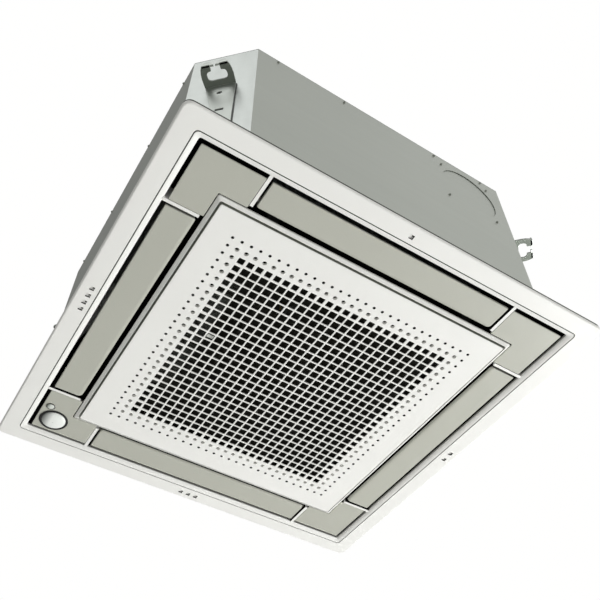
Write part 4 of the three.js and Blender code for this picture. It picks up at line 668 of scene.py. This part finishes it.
def flange_form():
    """The flange, the strip above its lip (which make_flange paints dark, as painted shade), the fine
    groove round the opening, with painted shade on the groove's floor and inner wall, and the bevel.
    """
    back = FLANGE_HALF - LIP_STEP
    profile = [(back, 0, 11), (back, LIP_TOP, 11)]
    profile += [(FLANGE_HALF - 0.3, LIP_TOP, 12), (FLANGE_HALF, LIP_TOP - 0.3, 12)]
    turn = arc(FLANGE_HALF - LIP_ROUND, FLANGE_BOTTOM + LIP_ROUND, LIP_ROUND, 0, -90, 6)
    profile += [(h, z, 12 + h - FLANGE_HALF) for h, z in turn]
    groove = len(profile)
    profile += [
        (GROOVE_OUTER + 0.2, FLANGE_BOTTOM, 7), (GROOVE_OUTER, FLANGE_BOTTOM + 0.2, 7),
        (GROOVE_OUTER, GROOVE_FLOOR, 7), (GROOVE_INNER, GROOVE_FLOOR, 6),
        (GROOVE_INNER, FLANGE_BOTTOM + 0.25, 6), (GROOVE_INNER - 0.25, FLANGE_BOTTOM + 0.05, 6),
        (280.9, -7.35, 5), (278.5, -6.4, 4), (BEVEL_FOOT + 0.4, -5.0, 3.5), (BEVEL_FOOT, -4.2, 3.3),
        (DUCT_HALF, -2.6, 3.3), (DUCT_HALF, 0, 3.3),
    ]
    rings = [square(h, r, z, 8) for h, z, r in profile]
    # The groove's floor and inner wall take ink 1, painted shade.
    return Form().loft(rings, wrap=True, dark=(groove + 2, groove + 3))


def make_flange():
    """The flange with its marks cut in. Their walls, the groove and the strip above the lip are dark:
    painted shade.
    """
    pockets = Form()
    for x, y in MARK_PLACES:
        sides = (x - MARK_HALF, x + MARK_HALF, y - MARK_HALF, y + MARK_HALF)
        pockets.box(*sides, FLANGE_BOTTOM - 2, MARK_FLOOR)
    mesh = make_mesh("panel_flange", flange_form())
    looks = [WHITE, GROOVE_SHADE, POCKET_SHADE]
    for look in looks:
        mesh.materials.append(look)
    mesh = carved(mesh, pockets)
    for face in mesh.polygons:
        middle = face.center / MM
        reach = min(max(abs(middle.x - x), abs(middle.y - y)) for x, y in MARK_PLACES)
        # Painted shade: the strip above the lip and the walls of the pockets take ink 2.
        strip = middle.z > LIP_TOP and max(abs(middle.x), abs(middle.y)) > FLANGE_HALF - 12
        if abs(face.normal.z) < 0.5 and (strip or reach < MARK_HALF + 0.1 and middle.z < MARK_FLOOR):
            face.material_index = 2
    soften(mesh)
    show("panel_flange", mesh, looks, stands_for="panel_frame")
    # Painted shade: a black dot in one corner of each pocket.
    corner_shade_dots = Form()
    dot = [(0.01, -7.4), (1.25, -7.4), (1.35, -7.25), (1.35, -5.6), (0.01, -5.6)]
    for x, y in MARK_PLACES:
        corner_shade_dots.join(lathe(dot, x + MARK_HALF - 1.45, y - MARK_HALF + 1.45, 16))
    piece("flange_mark_corner_shade", corner_shade_dots, [BLACK])


RIB_OUTER = COVER_END - 2
RIB_INNER = RIB_OUTER - 4
# Each face of a rib, and where it is moved to.
RIB_EDGES = ((RIB_INNER, 181.8), (RIB_OUTER, 186.2))
RIB_FACE = 183.0
RIB_START = 228.0
HOOK_END = 166.0
SHADE_FOOT = 5.0
DECK = 23.0


def make_duct_frame():
    """The duct walls, near-black above a white foot as painted shade for the inside of the duct. The ribs
    beside the flaps are white, but their sides toward the flaps take the painted shade.
    """
    mesh = solid_of("duct_frame")
    work = bmesh.new()
    work.from_mesh(mesh)
    every = work.verts[:] + work.edges[:] + work.faces[:]
    bmesh.ops.bisect_plane(work, geom=every, plane_co=(0, 0, SHADE_FOOT * MM), plane_no=(0, 0, 1))
    for vert in work.verts:
        for axis in (0, 1):
            for old, new in RIB_EDGES:
                if abs(abs(vert.co[axis]) / MM - old) < 0.05:
                    vert.co[axis] = copysign(new * MM, vert.co[axis])
    work.to_mesh(mesh)
    work.free()
    soften(mesh, 0.35, DRESSED_SHARP, flatten=True)
    for face in mesh.polygons:
        x, y, z = (abs(v) / MM for v in face.center)
        along, across = min(x, y), max(x, y)
        is_low = face.center.z / MM < SHADE_FOOT
        is_rib = RIB_INNER - 0.6 < along < RIB_OUTER + 1.5 and z < DECK
        is_rib = is_rib and RIB_START < across < DUCT_HALF + 0.2
        rib_side = is_rib and abs(face.normal.z) < 0.5 and along < RIB_FACE
        is_hook = face.center.y / MM > 200 and along < HOOK_END and across < RIB_START + 1
        is_top = z > DECK - 0.5 and face.normal.z > 0.7
        is_wall = across > DUCT_HALF - 1
        is_white = is_rib or is_hook or is_top or (is_wall and is_low) or across > DUCT_HALF + 2
        # Faces that are not white take ink 1, painted shade.
        face.material_index = 0 if is_white and not rib_side else 1
    stand_in("duct_frame", mesh, [WHITE, DUCT_SHADE])


SENSOR_X, SENSOR_Y = middle_of("sensor_ring", X), middle_of("sensor_ring", Y)
LENS_X, LENS_Y = middle_of("sensor_lens", X), middle_of("sensor_lens", Y)
PIVOT_OUT = 236.5
PIVOT_HEIGHT = 2.0
FLAP_EDGE = 1.1
FLAP_ROLL = 5.2
FLAP_THICK = 2.9


def flap_outline(inset, roll=0.0):
    x, inner, outer = FLAP_HALF + 0.2 - inset, -FLAP_INNER - inset - roll, -COVER_HALF + 0.7 + inset
    return rounded([(-x, outer), (x, outer), (x, inner), (-x, inner)], [1.2, 1.2, 4.6, 4.6], 5)


def flap_levels():
    """(inset, roll, height) up the flap: crisp edges on three sides, and the inner edge rolled back."""
    heights = [FLAP_EDGE * (1 - cos(radians(a))) for a in range(0, 91, 18)]
    levels = []
    for height in heights + [1.6, 2.2, FLAP_THICK]:
        left = max(FLAP_EDGE - height, 0)
        inset = FLAP_EDGE - sqrt(FLAP_EDGE ** 2 - left ** 2)
        roll = FLAP_ROLL - sqrt(FLAP_ROLL ** 2 - (FLAP_ROLL - height) ** 2)
        levels.append((inset, roll, FLAP_PLANE + height))
    return levels


def flap_form():
    """The flap with its rolled edge, its ridge and ribs, and the stubs that it turns on."""
    rings = [[(x, y, z) for x, y in flap_outline(inset, roll)] for inset, roll, z in flap_levels()]
    form = Form().loft(rings)
    ridge = ((-235.8, -3.3), (-235.2, -2.6), (-234.4, -2.4), (-233.6, -2.6), (-233.0, -3.3))
    form.loft([[(x, y, z) for y, z in ridge] for x in (-FLAP_HALF + 5, FLAP_HALF - 5)])
    for hand in (-1, 1):
        face, back = hand * FLAP_HALF, hand * (FLAP_HALF - 4)
        near, far = min(face, back), max(face, back)
        root, neck, tip = ((x, -PIVOT_OUT, PIVOT_HEIGHT) for x in (face, back, hand * STUB_END))
        form.join(bar(root, neck, 4.5, 24))
        form.box(near, far, -PIVOT_OUT - 4.5, -PIVOT_OUT + 4.5, -3.4, PIVOT_HEIGHT)
        form.box(near, far, -262, -PIVOT_OUT - 4.5, -3.4, -1.2)
        form.join(bar(neck, tip, 2.4, 16))
    for x in range(-150, 151, 60):
        form.box(x - 0.7, x + 0.7, -264, -240, -3.3, -1.9)
    return form


def cover_outline(inset):
    far, end, near = COVER_HALF - inset, COVER_END + inset, COVER_NEAR + inset
    corners = [(-far, -far), (-end, -far), (-end, -near), (-near, -near), (-near, -end), (-far, -end)]
    return rounded(corners, [1.6, 1.2, 1.2, 1.6, 1.2, 1.2], 4)


COVER_EDGE = 0.9
COVER_BACK = -4.3
RIM_TOP = -0.6


def cover_forms():
    """A cover's face plate, and the rim behind it, which takes painted shade and shows as a dark edge in
    the gap beside the cover.
    """
    levels = []
    for angle in range(0, 91, 18):
        bend = radians(angle)
        levels.append((COVER_EDGE * (1 - sin(bend)), FLAP_PLANE + COVER_EDGE * (1 - cos(bend))))
    levels += [(0, COVER_BACK - 0.1), (0.1, COVER_BACK)]
    rim = ((0.6, COVER_BACK), (0.6, RIM_TOP), (1.7, RIM_TOP), (1.7, COVER_BACK))
    rings = [[[(x, y, z) for x, y in cover_outline(inset)] for inset, z in part] for part in (levels, rim)]
    # The rim takes ink 1, painted shade.
    return Form().loft(rings[0]), Form().loft(rings[1], wrap=True, ink=1)


def drill(x, y, radius, segments=48):
    """An upright cutter through the panel."""
    return lathe([(0.01, -9), (radius, -9), (radius, 2), (0.01, 2)], x, y, segments)


def make_covers():
    """Each cover leaves room for a flap motor. One has the two eyes, cut before it is turned round."""
    plate, rim = cover_forms()
    bay = Form().box(-205.0, -184.0, -254.4, -229.6, -3.45, 0)
    eyes = drill(-SENSOR_Y, SENSOR_X, 19.5).join(drill(-LENS_Y, LENS_X, 4.8, 24))
    for i, corner in enumerate(CORNERS):
        mesh = carved(make_mesh("rim", rim), bay)
        mesh = joined(make_mesh("plate", plate), mesh)
        if corner == "back_left":
            mesh = carved(mesh, eyes)
        mesh.transform(about_z(90 * i))
        soften(mesh)
        stand_in(f"corner_cover_{corner}", mesh, [GREY, DUCT_SHADE])


def make_flaps():
    for i, side in enumerate(SIDES):
        stand_in_form(f"air_flap_{side}", flap_form().moved(about_z(90 * i)), [GREY])


def cap(radius, foot, rise, step):
    """Points of half a rounded cap that hangs down from the height foot."""
    turns = [radians(a) for a in range(2, 91, step)]
    return [(radius * sin(a), foot - rise * cos(a)) for a in turns]


def make_sensor():
    """The black ring with its pale dome, and the small lens with its dark rim."""
    ring = [(17.75, -6.9), (18.0, -7.2), (18.5, -7.3), (20.0, -7.3), (20.6, -7.1), (20.95, -6.7)]
    ring += [(21.0, -6.3), (19.2, -6.3), (19.2, 2.0), (17.9, 2.0)]
    stand_in_form("sensor_ring", lathe(ring, SENSOR_X, SENSOR_Y, 72), [RING_BLACK])
    dome = cap(17.6, -6.0, 5.0, 8) + [(17.6, -6.0), (17.6, 2.0), (0.2, 2.0)]
    stand_in_form("sensor_dome", lathe(dome, SENSOR_X, SENSOR_Y, 72), [LENS_PALE])
    lens = cap(5.3, -6.5, 1.2, 11) + [(5.3, -6.35), (4.5, -6.3), (4.5, -0.5), (0.2, -0.5)]
    stand_in_form("sensor_lens", lathe(lens, LENS_X, LENS_Y), [LENS_SMALL])
    rim = [(5.3, -6.9), (5.5, -7.1), (6.1, -7.1), (6.45, -6.85), (6.5, -6.3), (5.3, -6.3)]
    piece("sensor_lens_rim", lathe(rim, LENS_X, LENS_Y), [LENS_RIM])


# --- Intake grille and filter ---

PITCH = 13.0
HOLES = 29
FACE_Z = start_of("intake_grille", Z)
FACE_BACK = -9.6
TUBE_BACK = -6.8


CIRCLE = [(cos(TAU * k / 16), sin(TAU * k / 16)) for k in range(16)]


def hole_rings(ring):
    """Sixteen unit points round a hole of the ring'th row from the edge, and its half-width."""
    if ring < 2:
        return CIRCLE, (2.05, 3.0)[ring]
    turn = 0.86
    quarter = [(1.0, 0.0), (1.0, turn), (0.957, 0.957), (turn, 1.0)]
    points = []
    for k in range(4):
        c, s = round(cos(TAU * k / 4)), round(sin(TAU * k / 4))
        points += [(x * c - y * s, x * s + y * c) for x, y in quarter]
    return points, 4.5 if ring == 2 else 5.5


def cell_edge():
    half = PITCH / 2
    points = []
    for x, y in CIRCLE:
        reach = half / max(abs(x), abs(y))
        points.append((x * reach, y * reach))
    return points


def perforated_sheet():
    """The face sheet. The holes of its second row stand in short tubes behind it, and the walls of its
    outer row's holes are black, as painted shade.
    """
    form = Form()
    edge = cell_edge()
    for i in range(HOLES):
        for j in range(HOLES):
            row = min(i, j, HOLES - 1 - i, HOLES - 1 - j)
            unit, half = hole_rings(row)
            x, y = (i - (HOLES - 1) / 2) * PITCH, (j - (HOLES - 1) / 2) * PITCH
            levels = [(0.2, FACE_Z), (0.05, FACE_Z + 0.06), (0, FACE_Z + 0.25)]
            if row == 1:
                levels += [(0, TUBE_BACK), (0.9, TUBE_BACK), (0.9, FACE_BACK)]
            else:
                levels.append((0, FACE_BACK))
            rings = [[(x + a, y + b, FACE_Z) for a, b in edge]]
            for grow, z in levels:
                rings.append([(x + a * (half + grow), y + b * (half + grow), z) for a, b in unit])
            rings.append([(x + a, y + b, FACE_BACK) for a, b in edge])
            # The outer row's hole walls take black, as painted shade.
            form.loft(rings, caps=False, dark=() if row else (2, 3), dark_ink=2)
    return form


LATCH_X = 150
HINGE_X = 160
BOX_REACH = 10.8
BOX_WALL = 2.5


def grille_form():
    """The sheet and its rim, the two hinge pins at the back and the two latch boxes at the front."""
    rim = [square(h, r, z, 6) for h, z, r in rim_profile()]
    # Spans 5 and 6, the groove's inner wall and floor, take painted shade.
    form = perforated_sheet().join(Form().loft(rim, caps=False, dark=(5, 6)))
    for hand in (-1, 1):
        middle = hand * HINGE_X
        form.join(bar((middle - 6.4, 221, -4.7), (middle + 6.4, 221, -4.7), 1.1, 16))
        for start in (middle - 9.4, middle + 5.4):
            form.box(start, start + 4, 219, 223, -5.7, -2.7)
        start, end = hand * LATCH_X - BOX_REACH, hand * LATCH_X + BOX_REACH
        for x0, x1, z0, z1 in (
            (start, start + BOX_WALL, -5.7, 11.3), (end - BOX_WALL, end, -5.7, 11.3),
            (start, end, 8.8, 11.3), (start, end, -5.7, 6.2),
        ):
            form.box(x0, x1, -221.5, -214.5, z0, z1, ink=2)
    return form


def rim_profile():
    """The plain border of the face, the groove round it, whose inner wall and floor take painted shade, and
    the sloping base.
    """
    window = HOLES * PITCH / 2
    profile = [(window, FACE_Z, 0.02)]
    profile += [(h, z, 3.0) for h, z in arc(215.3, FACE_Z + 0.8, 0.8, -90, 0, 4)]
    profile += [(216.1, -5.3, 3.0), (218.9, -5.3, 3.2), (218.8, -9.2, 3.2), (219.1, -9.3, 3.2)]
    profile += [(222.4, -6.85, 3.0), (223.1, -6.3, 2.8), (223.3, -5.9, 2.6), (223.3, -4.0, 2.6)]
    return profile + [(213.5, -4.0, 2.0), (213.5, FACE_BACK, 2.0), (window, FACE_BACK, 0.02)]


def make_grille():
    stand_in_form("intake_grille", grille_form(), [WHITE, GRILLE_GROOVE_SHADE, BLACK])


def make_filter():
    """A woven net in a frame with crossing ribs."""
    form = Form()
    bottom, half = start_of("air_filter", Z), end_of("air_filter", X)
    edge = ((0, 0, 3), (0, 2.6, 3), (0.4, 3, 2.6), (6.6, 3, 1), (7, 2.6, 1), (7, 0, 1))
    form.loft([square(half - inset, radius, bottom + rise, 4) for inset, rise, radius in edge], wrap=True)
    for i in range(1, 4):
        m = (i / 4 - 0.5) * 2 * half
        form.box(m - 1.5, m + 1.5, -half + 5, half - 5, bottom + 0.1, bottom + 2.7)
        form.box(-half + 5, half - 5, m - 1.5, m + 1.5, bottom + 0.12, bottom + 2.6)
    pitch, thick = 1.6, 0.3
    strands = int((2 * half - 10) / pitch)
    for i in range(strands):
        m = -half + 5.5 + i * pitch
        form.box(m - thick, m + thick, -half + 5, half - 5, bottom + 0.15, bottom + 0.45)
        form.box(-half + 5, half - 5, m - thick, m + thick, bottom + 0.4, bottom + 0.7)
    stand_in_form("air_filter", form, [FILTER])


def make_clips():
    """Three small pale clips on the filter, behind the holes."""
    form = Form()
    for x, y in ((-129, -23.5), (-101.7, 153.5), (106, 153.5)):
        form.loft([
            [(x + a, y + b, z) for a, b in rounded([(-h, -k), (h, -k), (h, k), (-h, k)], 0.8, 3)]
            for h, k, z in ((4.4, 2.6, -6.2), (4.6, 2.8, -6.9), (4.0, 2.2, -7.5))
        ])
    piece("filter_clips", form, [PALE_PLASTIC], "grille")


# --- Casing ---

CASING_HALF = end_of("casing_side_right", X)
CASING_FLAT = end_of("casing_side_front", X) + 0.8
CASING_FOOT = start_of("casing_side_front", Z)
CASING_ROOF = start_of("casing_top", Z)
CHAMFER_AWAY = 359.4
CHAMFER_HALF = 47.16
SCREW_RADIUS = 1.9


def screw_form(x, z):
    """A pan-head screw with a cross recess, in the front wall. The recess is drawn as a flat cross in the
    second finish, a dark zinc, as painted shade.
    """
    head = [(0.01, -2.0), (SCREW_RADIUS * 0.45, -1.95), (SCREW_RADIUS * 0.8, -1.5)]
    form = lathe(head + [(SCREW_RADIUS, -0.7), (SCREW_RADIUS, 0), (0.01, 0)], 0, 0, 20)
    form.add([(a, b, -2.03) for a, b in (
        (-0.45, -1.9), (0.45, -1.9), (0.45, -0.45), (1.9, -0.45), (1.9, 0.45), (0.45, 0.45),
        (0.45, 1.9), (-0.45, 1.9), (-0.45, 0.45), (-1.9, 0.45), (-1.9, -0.45), (-0.45, -0.45),
    )], [tuple(range(12))], ink=1)
    return facing_front(form, x, z)


def wall_form(half, away):
    """A flat wall of the casing, 1 mm thick, facing -Y."""
    return Form().box(-half, half, -away, -away + 1, CASING_FOOT, CASING_ROOF - 0.3)


def side_wall():
    return make_mesh("wall", wall_form(CASING_FLAT, CASING_HALF))


def facing_front(form, x, z):
    """Turns a form that was drawn about an upright axis, so that it lies in the front wall."""
    stand = Matrix.Translation((x, -CASING_HALF, z)) @ Matrix.Rotation(radians(-90), 4, "X")
    return form.moved(stand)


# The (x, z) of the screws in each side wall, before it is turned round to its side.
SIDE_SCREWS = {
    "front": (
        (-188, 291), (-75, 289), (92, 290), (185, 291),
        (103.8, 274.7), (193.4, 274.7), (103.8, 186.8), (193.4, 186),
    ),
    "right": ((-188, 291), (-60, 290), (75, 290), (198, 291), (-120, 60), (60, 60)),
    "back": ((-188, 291), (-70, 290), (70, 290), (188, 291), (-150, 60), (150, 60)),
    "left": ((-188, 291), (-70, 290), (70, 290), (188, 291)),
}


KNOCKOUT_X = 149.7
KNOCKOUT_Z = 230.0
KNOCKOUT_RADIUS = 51.0
KNOCKOUT_DEPTH = 1.2
KNOCKOUT_BACK = 3.4
# The (y, z, radius) of the holes for the two pipes and the drain, in the right wall.
WALL_HOLES = ((164, 202.3, 7.55), (164, 164.3, 4.4), (206, 93, 12.8))


def knockout_disc(front, back):
    """A disc in the knock-out's place, between two depths behind the front wall's face."""
    outline = [(0.01, front), (KNOCKOUT_RADIUS, front), (KNOCKOUT_RADIUS, back), (0.01, back)]
    return facing_front(lathe(outline, 0, 0, 128), KNOCKOUT_X, KNOCKOUT_Z)


def front_wall():
    """The front wall, with the knock-out disc pushed a little way in. The cut round the disc takes painted
    shade.
    """
    mesh = carved(side_wall(), knockout_disc(-3, 3))
    for face in mesh.polygons:
        middle = face.center / MM
        reach = hypot(middle.x - KNOCKOUT_X, middle.z - KNOCKOUT_Z)
        face.material_index = 1 if reach < KNOCKOUT_RADIUS + 0.2 and abs(face.normal.y) < 0.5 else 0
    return joined(mesh, make_mesh("disc", knockout_disc(KNOCKOUT_DEPTH, KNOCKOUT_BACK)))


def make_walls():
    """The four side walls with their screws, and the four corner walls."""
    for i, side in enumerate(SIDES):
        mesh = front_wall() if side == "front" else side_wall()
        if side == "right":
            tools = Form()
            for y, z, radius in WALL_HOLES:
                tools.join(bar((y, -CASING_HALF - 2, z), (y, -CASING_HALF + 3, z), radius, 32))
            mesh = carved(mesh, tools)
        soften(mesh, sharp=30)
        mesh.transform(about_z(90 * i))
        stand_in(f"casing_side_{side}", mesh, [ZINC, ZINC_SHADE])
        screws = Form()
        for x, z in SIDE_SCREWS[side]:
            screws.join(screw_form(x, z))
        piece(f"side_screws_{side}", screws.moved(about_z(90 * i)), [SCREW, ZINC_SHADE])
    for i, corner in enumerate(CORNERS):
        form = wall_form(CHAMFER_HALF, CHAMFER_AWAY).moved(about_z(90 * i - 45))
        # The corner walls take the brighter copy of the zinc: painted light.
        stand_in_form(f"casing_corner_{corner}", form, [ZINC_LIT], 0.3)


LUG_FOOT = 193.0
PLATE_FRONT = CHAMFER_AWAY + 2.6
LUG_TIP = 391.7
# How far up a lip each ring lies, and where its near and far faces are past the plate's front.
LIP_STEPS = ((0, 26.8, 29.6), (4, 27.0, 29.8), (8, 27.6, 29.8), (10.4, 28.3, 29.6), (11.3, 28.9, 29.3))
BRACKET_FOOT = start_of("hanger_bracket_front_left", Z)


def lug_half():
    """Half of a hanger lug, from above, as (x, distance past the plate's front)."""
    outer = [(21, 0), (21.3, 6), (21.6, 13), (21.0, 20), (19.6, 25.5), (17.6, LUG_TIP - PLATE_FRONT)]
    mouth = [(6.6, LUG_TIP - PLATE_FRONT), (6.6, 21.6), (7.4, 20.9)]
    slot = [(9.4, 20.7), (11.6, 19.9), (13.0, 18.2), (13.5, 16.2)]
    slot += [(13.5, 12.6), (12.9, 10.4), (11.2, 8.8), (8.7, 8.2), (0, 8.2)]
    return outer, mouth + slot


def lug_form():
    """The folded lug with its T-shaped slot, and the two lips that turn up beside the slot's mouth."""
    outer, inner = lug_half()
    outline = [(0, 0)] + outer + inner
    form = Form()
    for hand in (-1, 1):
        ring = [(hand * x, -PLATE_FRONT - d) for x, d in outline]
        # The lug takes ink 1, the dark zinc, as painted shade.
        form.loft([[(x, y, z) for x, y in ring] for z in (LUG_FOOT, LUG_FOOT + 0.5, LUG_FOOT + 2.3)], ink=1)
        lip = []
        for rise, near, far in LIP_STEPS:
            half = 7.2 * (1 - (rise / 12.5) ** 2) + 1.2
            middle = 9.6 + rise * 0.16
            z = LUG_FOOT + rise
            lip.append([(hand * (middle + a), -PLATE_FRONT - d, z)
                        for a, d in ((-half, near), (half, near), (half, far), (-half, far))])
        form.loft(lip)
    return form


def bracket_plate():
    """The tapered plate on the corner wall. The dark strip by its right edge, drawn in bracket_shadows, is
    painted shadow.
    """
    top = LUG_FOOT + 2.3
    outline = [(4, BRACKET_FOOT), (21, BRACKET_FOOT), (21, top), (-21, top), (-21, LUG_FOOT)]
    return Form().loft([[(x, y, z) for x, z in outline] for y in (-PLATE_FRONT, -CHAMFER_AWAY - 0.3)])


def bracket_shadows():
    """Painted shadow: dark backs to the plate's two holes, and a dark strip along its right edge."""
    near, wall = -PLATE_FRONT + 1.4, -CHAMFER_AWAY - 0.05
    form = Form().box(21.1, 22.4, near, wall, BRACKET_FOOT, LUG_FOOT - 1, ink=2)
    form.box(-4.4, 4.4, wall - 0.2, wall, 166, 176, ink=2)
    return form.box(-3.2, 10.4, wall - 0.2, wall, 115, 125, ink=2)


def make_brackets():
    tools = bar((0, -PLATE_FRONT - 3, 171), (0, -PLATE_FRONT + 5, 171), 3.6, 28)
    tools.join(Form().box(-1.9, 9.1, -PLATE_FRONT - 3, -PLATE_FRONT + 5, 117.4, 122.6))
    for i, corner in enumerate(CORNERS):
        plate = carved(make_mesh("plate", bracket_plate()), tools)
        soften(plate, 0.35, DRESSED_SHARP)
        lug = make_mesh("lug", lug_form())
        soften(lug, 0.3, DRESSED_SHARP)
        joined(plate, lug, make_mesh("shadows", bracket_shadows()))
        plate.transform(about_z(90 * i - 45))
        plate.set_sharp_from_angle(angle=radians(DRESSED_SHARP))
        looks = [ZINC_BRACKET, ZINC_SHADE, BLACK]
        stand_in(f"hanger_bracket_{corner}", plate, looks)


# --- Inner pieces: the CAD solids with rounded edges, and small parts added to them ---


def hanging_screws(places, z, radius):
    """Slotted screw heads below the height z, at (x, y) places."""
    form = Form()
    for x, y in places:
        head = [(0.01, -1.6), (radius * 0.75, -1.4), (radius, -0.6), (radius, 0.2), (0.01, 0.2)]
        form.join(lathe([(r, z + rise) for r, rise in head], x, y, 20))
        form.box(x - radius * 0.7, x + radius * 0.7, y - 0.4, y + 0.4, z - 1.75, z - 1.5, ink=1)
    return form


def corners_of(node, inset_x, inset_y):
    """The four corners of a node's box, seen from below, each moved in."""
    xs = (start_of(node, X) + inset_x, end_of(node, X) - inset_x)
    ys = (start_of(node, Y) + inset_y, end_of(node, Y) - inset_y)
    return [(x, y) for x in xs for y in ys]


def board_parts():
    """Capacitors, plugs and resistors on the underside of the board."""
    left, front = start_of("control_board", X), start_of("control_board", Y)
    under = start_of("control_board", Z) + 9.2
    form = Form()
    can = [(0.01, under - 13.2), (3.6, under - 13), (4, under - 12.4), (4, under), (0.01, under)]
    for x in (8, 18):
        for y in (57, 71):
            form.join(lathe(can, left + x, front + y, 24, ink=1))
    for i in range(5):
        y = front + 87 + 8 * i
        form.box(left + 1, left + 8, y, y + 6, under - 8.2, under, ink=1)
        form.box(left + 2.5, left + 6.5, y + 1, y + 5, under - 8.6, under - 8)
    for i in range(6):
        y = front + 95 + 5 * i
        form.join(bar((left + 26, y, under - 2.2), (left + 34, y, under - 2.2), 1.3, 14, ink=1))
    return form


def motor_band():
    """The raised seam round the motor's housing, and a ring of slots in its lower face, drawn as flat
    patches in the second finish; black, they are painted shade.
    """
    radius, bottom = end_of("fan_motor", X), start_of("fan_motor", Z)
    band = [(-0.5, 230), (0.4, 230.4), (0.8, 231.5), (0.8, 236.5), (0.4, 237.6), (-0.5, 238)]
    form = lathe([(radius + grow, z) for grow, z in band], 0, 0, 64)
    for k in range(24):
        slot = Form().box(radius - 14, radius - 5, -1.3, 1.3, bottom - 0.4, bottom + 0.3, ink=1)
        form.join(slot.moved(about_z(15 * k)))
    return form


def hose_rings():
    """A corrugated outer skin over the drain hose."""
    start, end, steps = start_of("drain_hose", X) + 0.3, end_of("drain_hose", X) - 0.3, 24
    skin = []
    for i in range(steps + 1):
        skin.append((9.2 + 0.35 * (1 - cos(TAU * i / 4)), start + (end - start) * i / steps))
    place = Matrix.Translation((0, middle_of("drain_hose", Y), middle_of("drain_hose", Z)))
    turn = place @ Matrix.Rotation(radians(90), 4, "Y")
    return lathe(skin + [(7.6, end), (7.6, start)], 0, 0, 40).moved(turn)


def terminal_screws():
    """Two screws for each of the five terminals."""
    middle, start = middle_of("terminal_block", X), start_of("terminal_block", Y) + 6.25
    places = [(middle + side, start + 11 * i) for i in range(5) for side in (-6.5, 6.5)]
    return hanging_screws(places, start_of("terminal_block", Z) + 4.2, 2.6)


def bell_screws():
    side = end_of("bell_mouth", X) - 14
    places = corners_of("bell_mouth", 14, 14) + [(side, 0), (0, side), (0, -side)]
    return hanging_screws(places, start_of("bell_mouth", Z), 4.2)


def on_end_plate(at):
    """Whether a point of the coil's end piece lies on its plate, not on its bends."""
    front = start_of("coil_end_plate", Y)
    return front - 0.1 < at.y < front + 2.1 and at.x < 228


def make_inner_pieces():
    # Painted shade: the top's edge faces take the dark zinc, a dark line along its edges.
    dressed("casing_top", ZINC, 0.3, other=ZINC_SHADE, where=lambda at: at.z < 297.8)
    dressed("foam_liner", FOAM, 1.5)
    # Painted shade: the pan's lower faces take the near-black duct colour.
    dressed("drain_pan", FOAM, 1.8, other=DUCT_SHADE, where=lambda at: at.z < 71)
    dressed("coil_fin_pack", FIN, 0.4)
    dressed("coil_end_plate", COPPER, 0.3, other=ZINC, where=on_end_plate)
    dressed("bell_mouth", DARK_FAN, 0.5, extra=bell_screws(), other=SCREW)
    dressed("turbo_fan", DARK_FAN)
    dressed("fan_motor_bracket", ZINC)
    dressed("fan_motor", STEEL, 1.5, extra=motor_band(), other=BLACK)
    dressed("fan_motor_shaft", STEEL, 0.5)
    dressed("control_box", ZINC, 0.3)
    lid_screws = hanging_screws(corners_of("control_box_lid", 5, 6), start_of("control_box_lid", Z), 3.2)
    # Painted shade: the slots of the lid's screws take black.
    dressed("control_box_lid", ZINC, 0.3, extra=lid_screws, other=BLACK)
    dressed("control_board", LAMINATE, 0.2, extra=board_parts(), other=PALE_PLASTIC)
    dressed("terminal_block", BLACK, 0.3, extra=terminal_screws(), other=BRASS)
    dressed("drain_pump", PALE_PLASTIC, 0.6, other=BLACK, where=lambda at: at.z > 105.2)
    dressed("drain_hose", HOSE, 0.2, extra=hose_rings())
    dressed("drain_socket", PALE_PLASTIC, 0.5)
    dressed("pipe_plate", ZINC, 0.3)
    dressed("panel_seal", SEAL, 0.5)
    for node in ("pump_impeller", "float_switch", "grille_latch_left", "grille_latch_right"):
        dressed(node, BLACK)
    for pipe in ("gas", "liquid"):
        dressed(f"{pipe}_pipe", COPPER, 0.2)
        dressed(f"{pipe}_flare_nut", BRASS, 0.5)
    dressed("fan_nut", BRASS, 0.5)
    for side in SIDES:
        dressed(f"flap_motor_{side}", STEEL, 0.5)


FLOOR_HALF = 9000.0
FLOOR_HEIGHT = -2600.0


def make_stage():
    signs = ((-1, -1), (1, -1), (1, 1), (-1, 1))
    corners = [(x * FLOOR_HALF, y * FLOOR_HALF, FLOOR_HEIGHT) for x, y in signs]
    floor = Form().add(corners, [(0, 1, 2, 3)])
    mesh = make_mesh("floor", floor)
    look = Finish("floor_paper", linear("F2F2F0"), 0.85)
    look.vary(1.5, 2, 0.99, 1.0)
    mesh.materials.append(look.done())
    placed("floor", mesh)


make_camera()
make_world(seen=1.0, dim=0.15, bright=0.84)
area_light("key", azimuth=97, elevation=-36, reach=3.9, size=1.15, watts=132)
area_light("front", azimuth=32, elevation=50, reach=3.2, size=2.6, watts=1.5)
area_light("corner", azimuth=-58, elevation=50, reach=3.2, size=1.6, watts=10.5)
make_stage()
make_flange()
make_duct_frame()
make_covers()
make_flaps()
make_sensor()
make_grille()
make_filter()
make_clips()
make_walls()
make_brackets()
make_inner_pieces()

bpy.context.scene.view_settings.view_transform = "Standard"
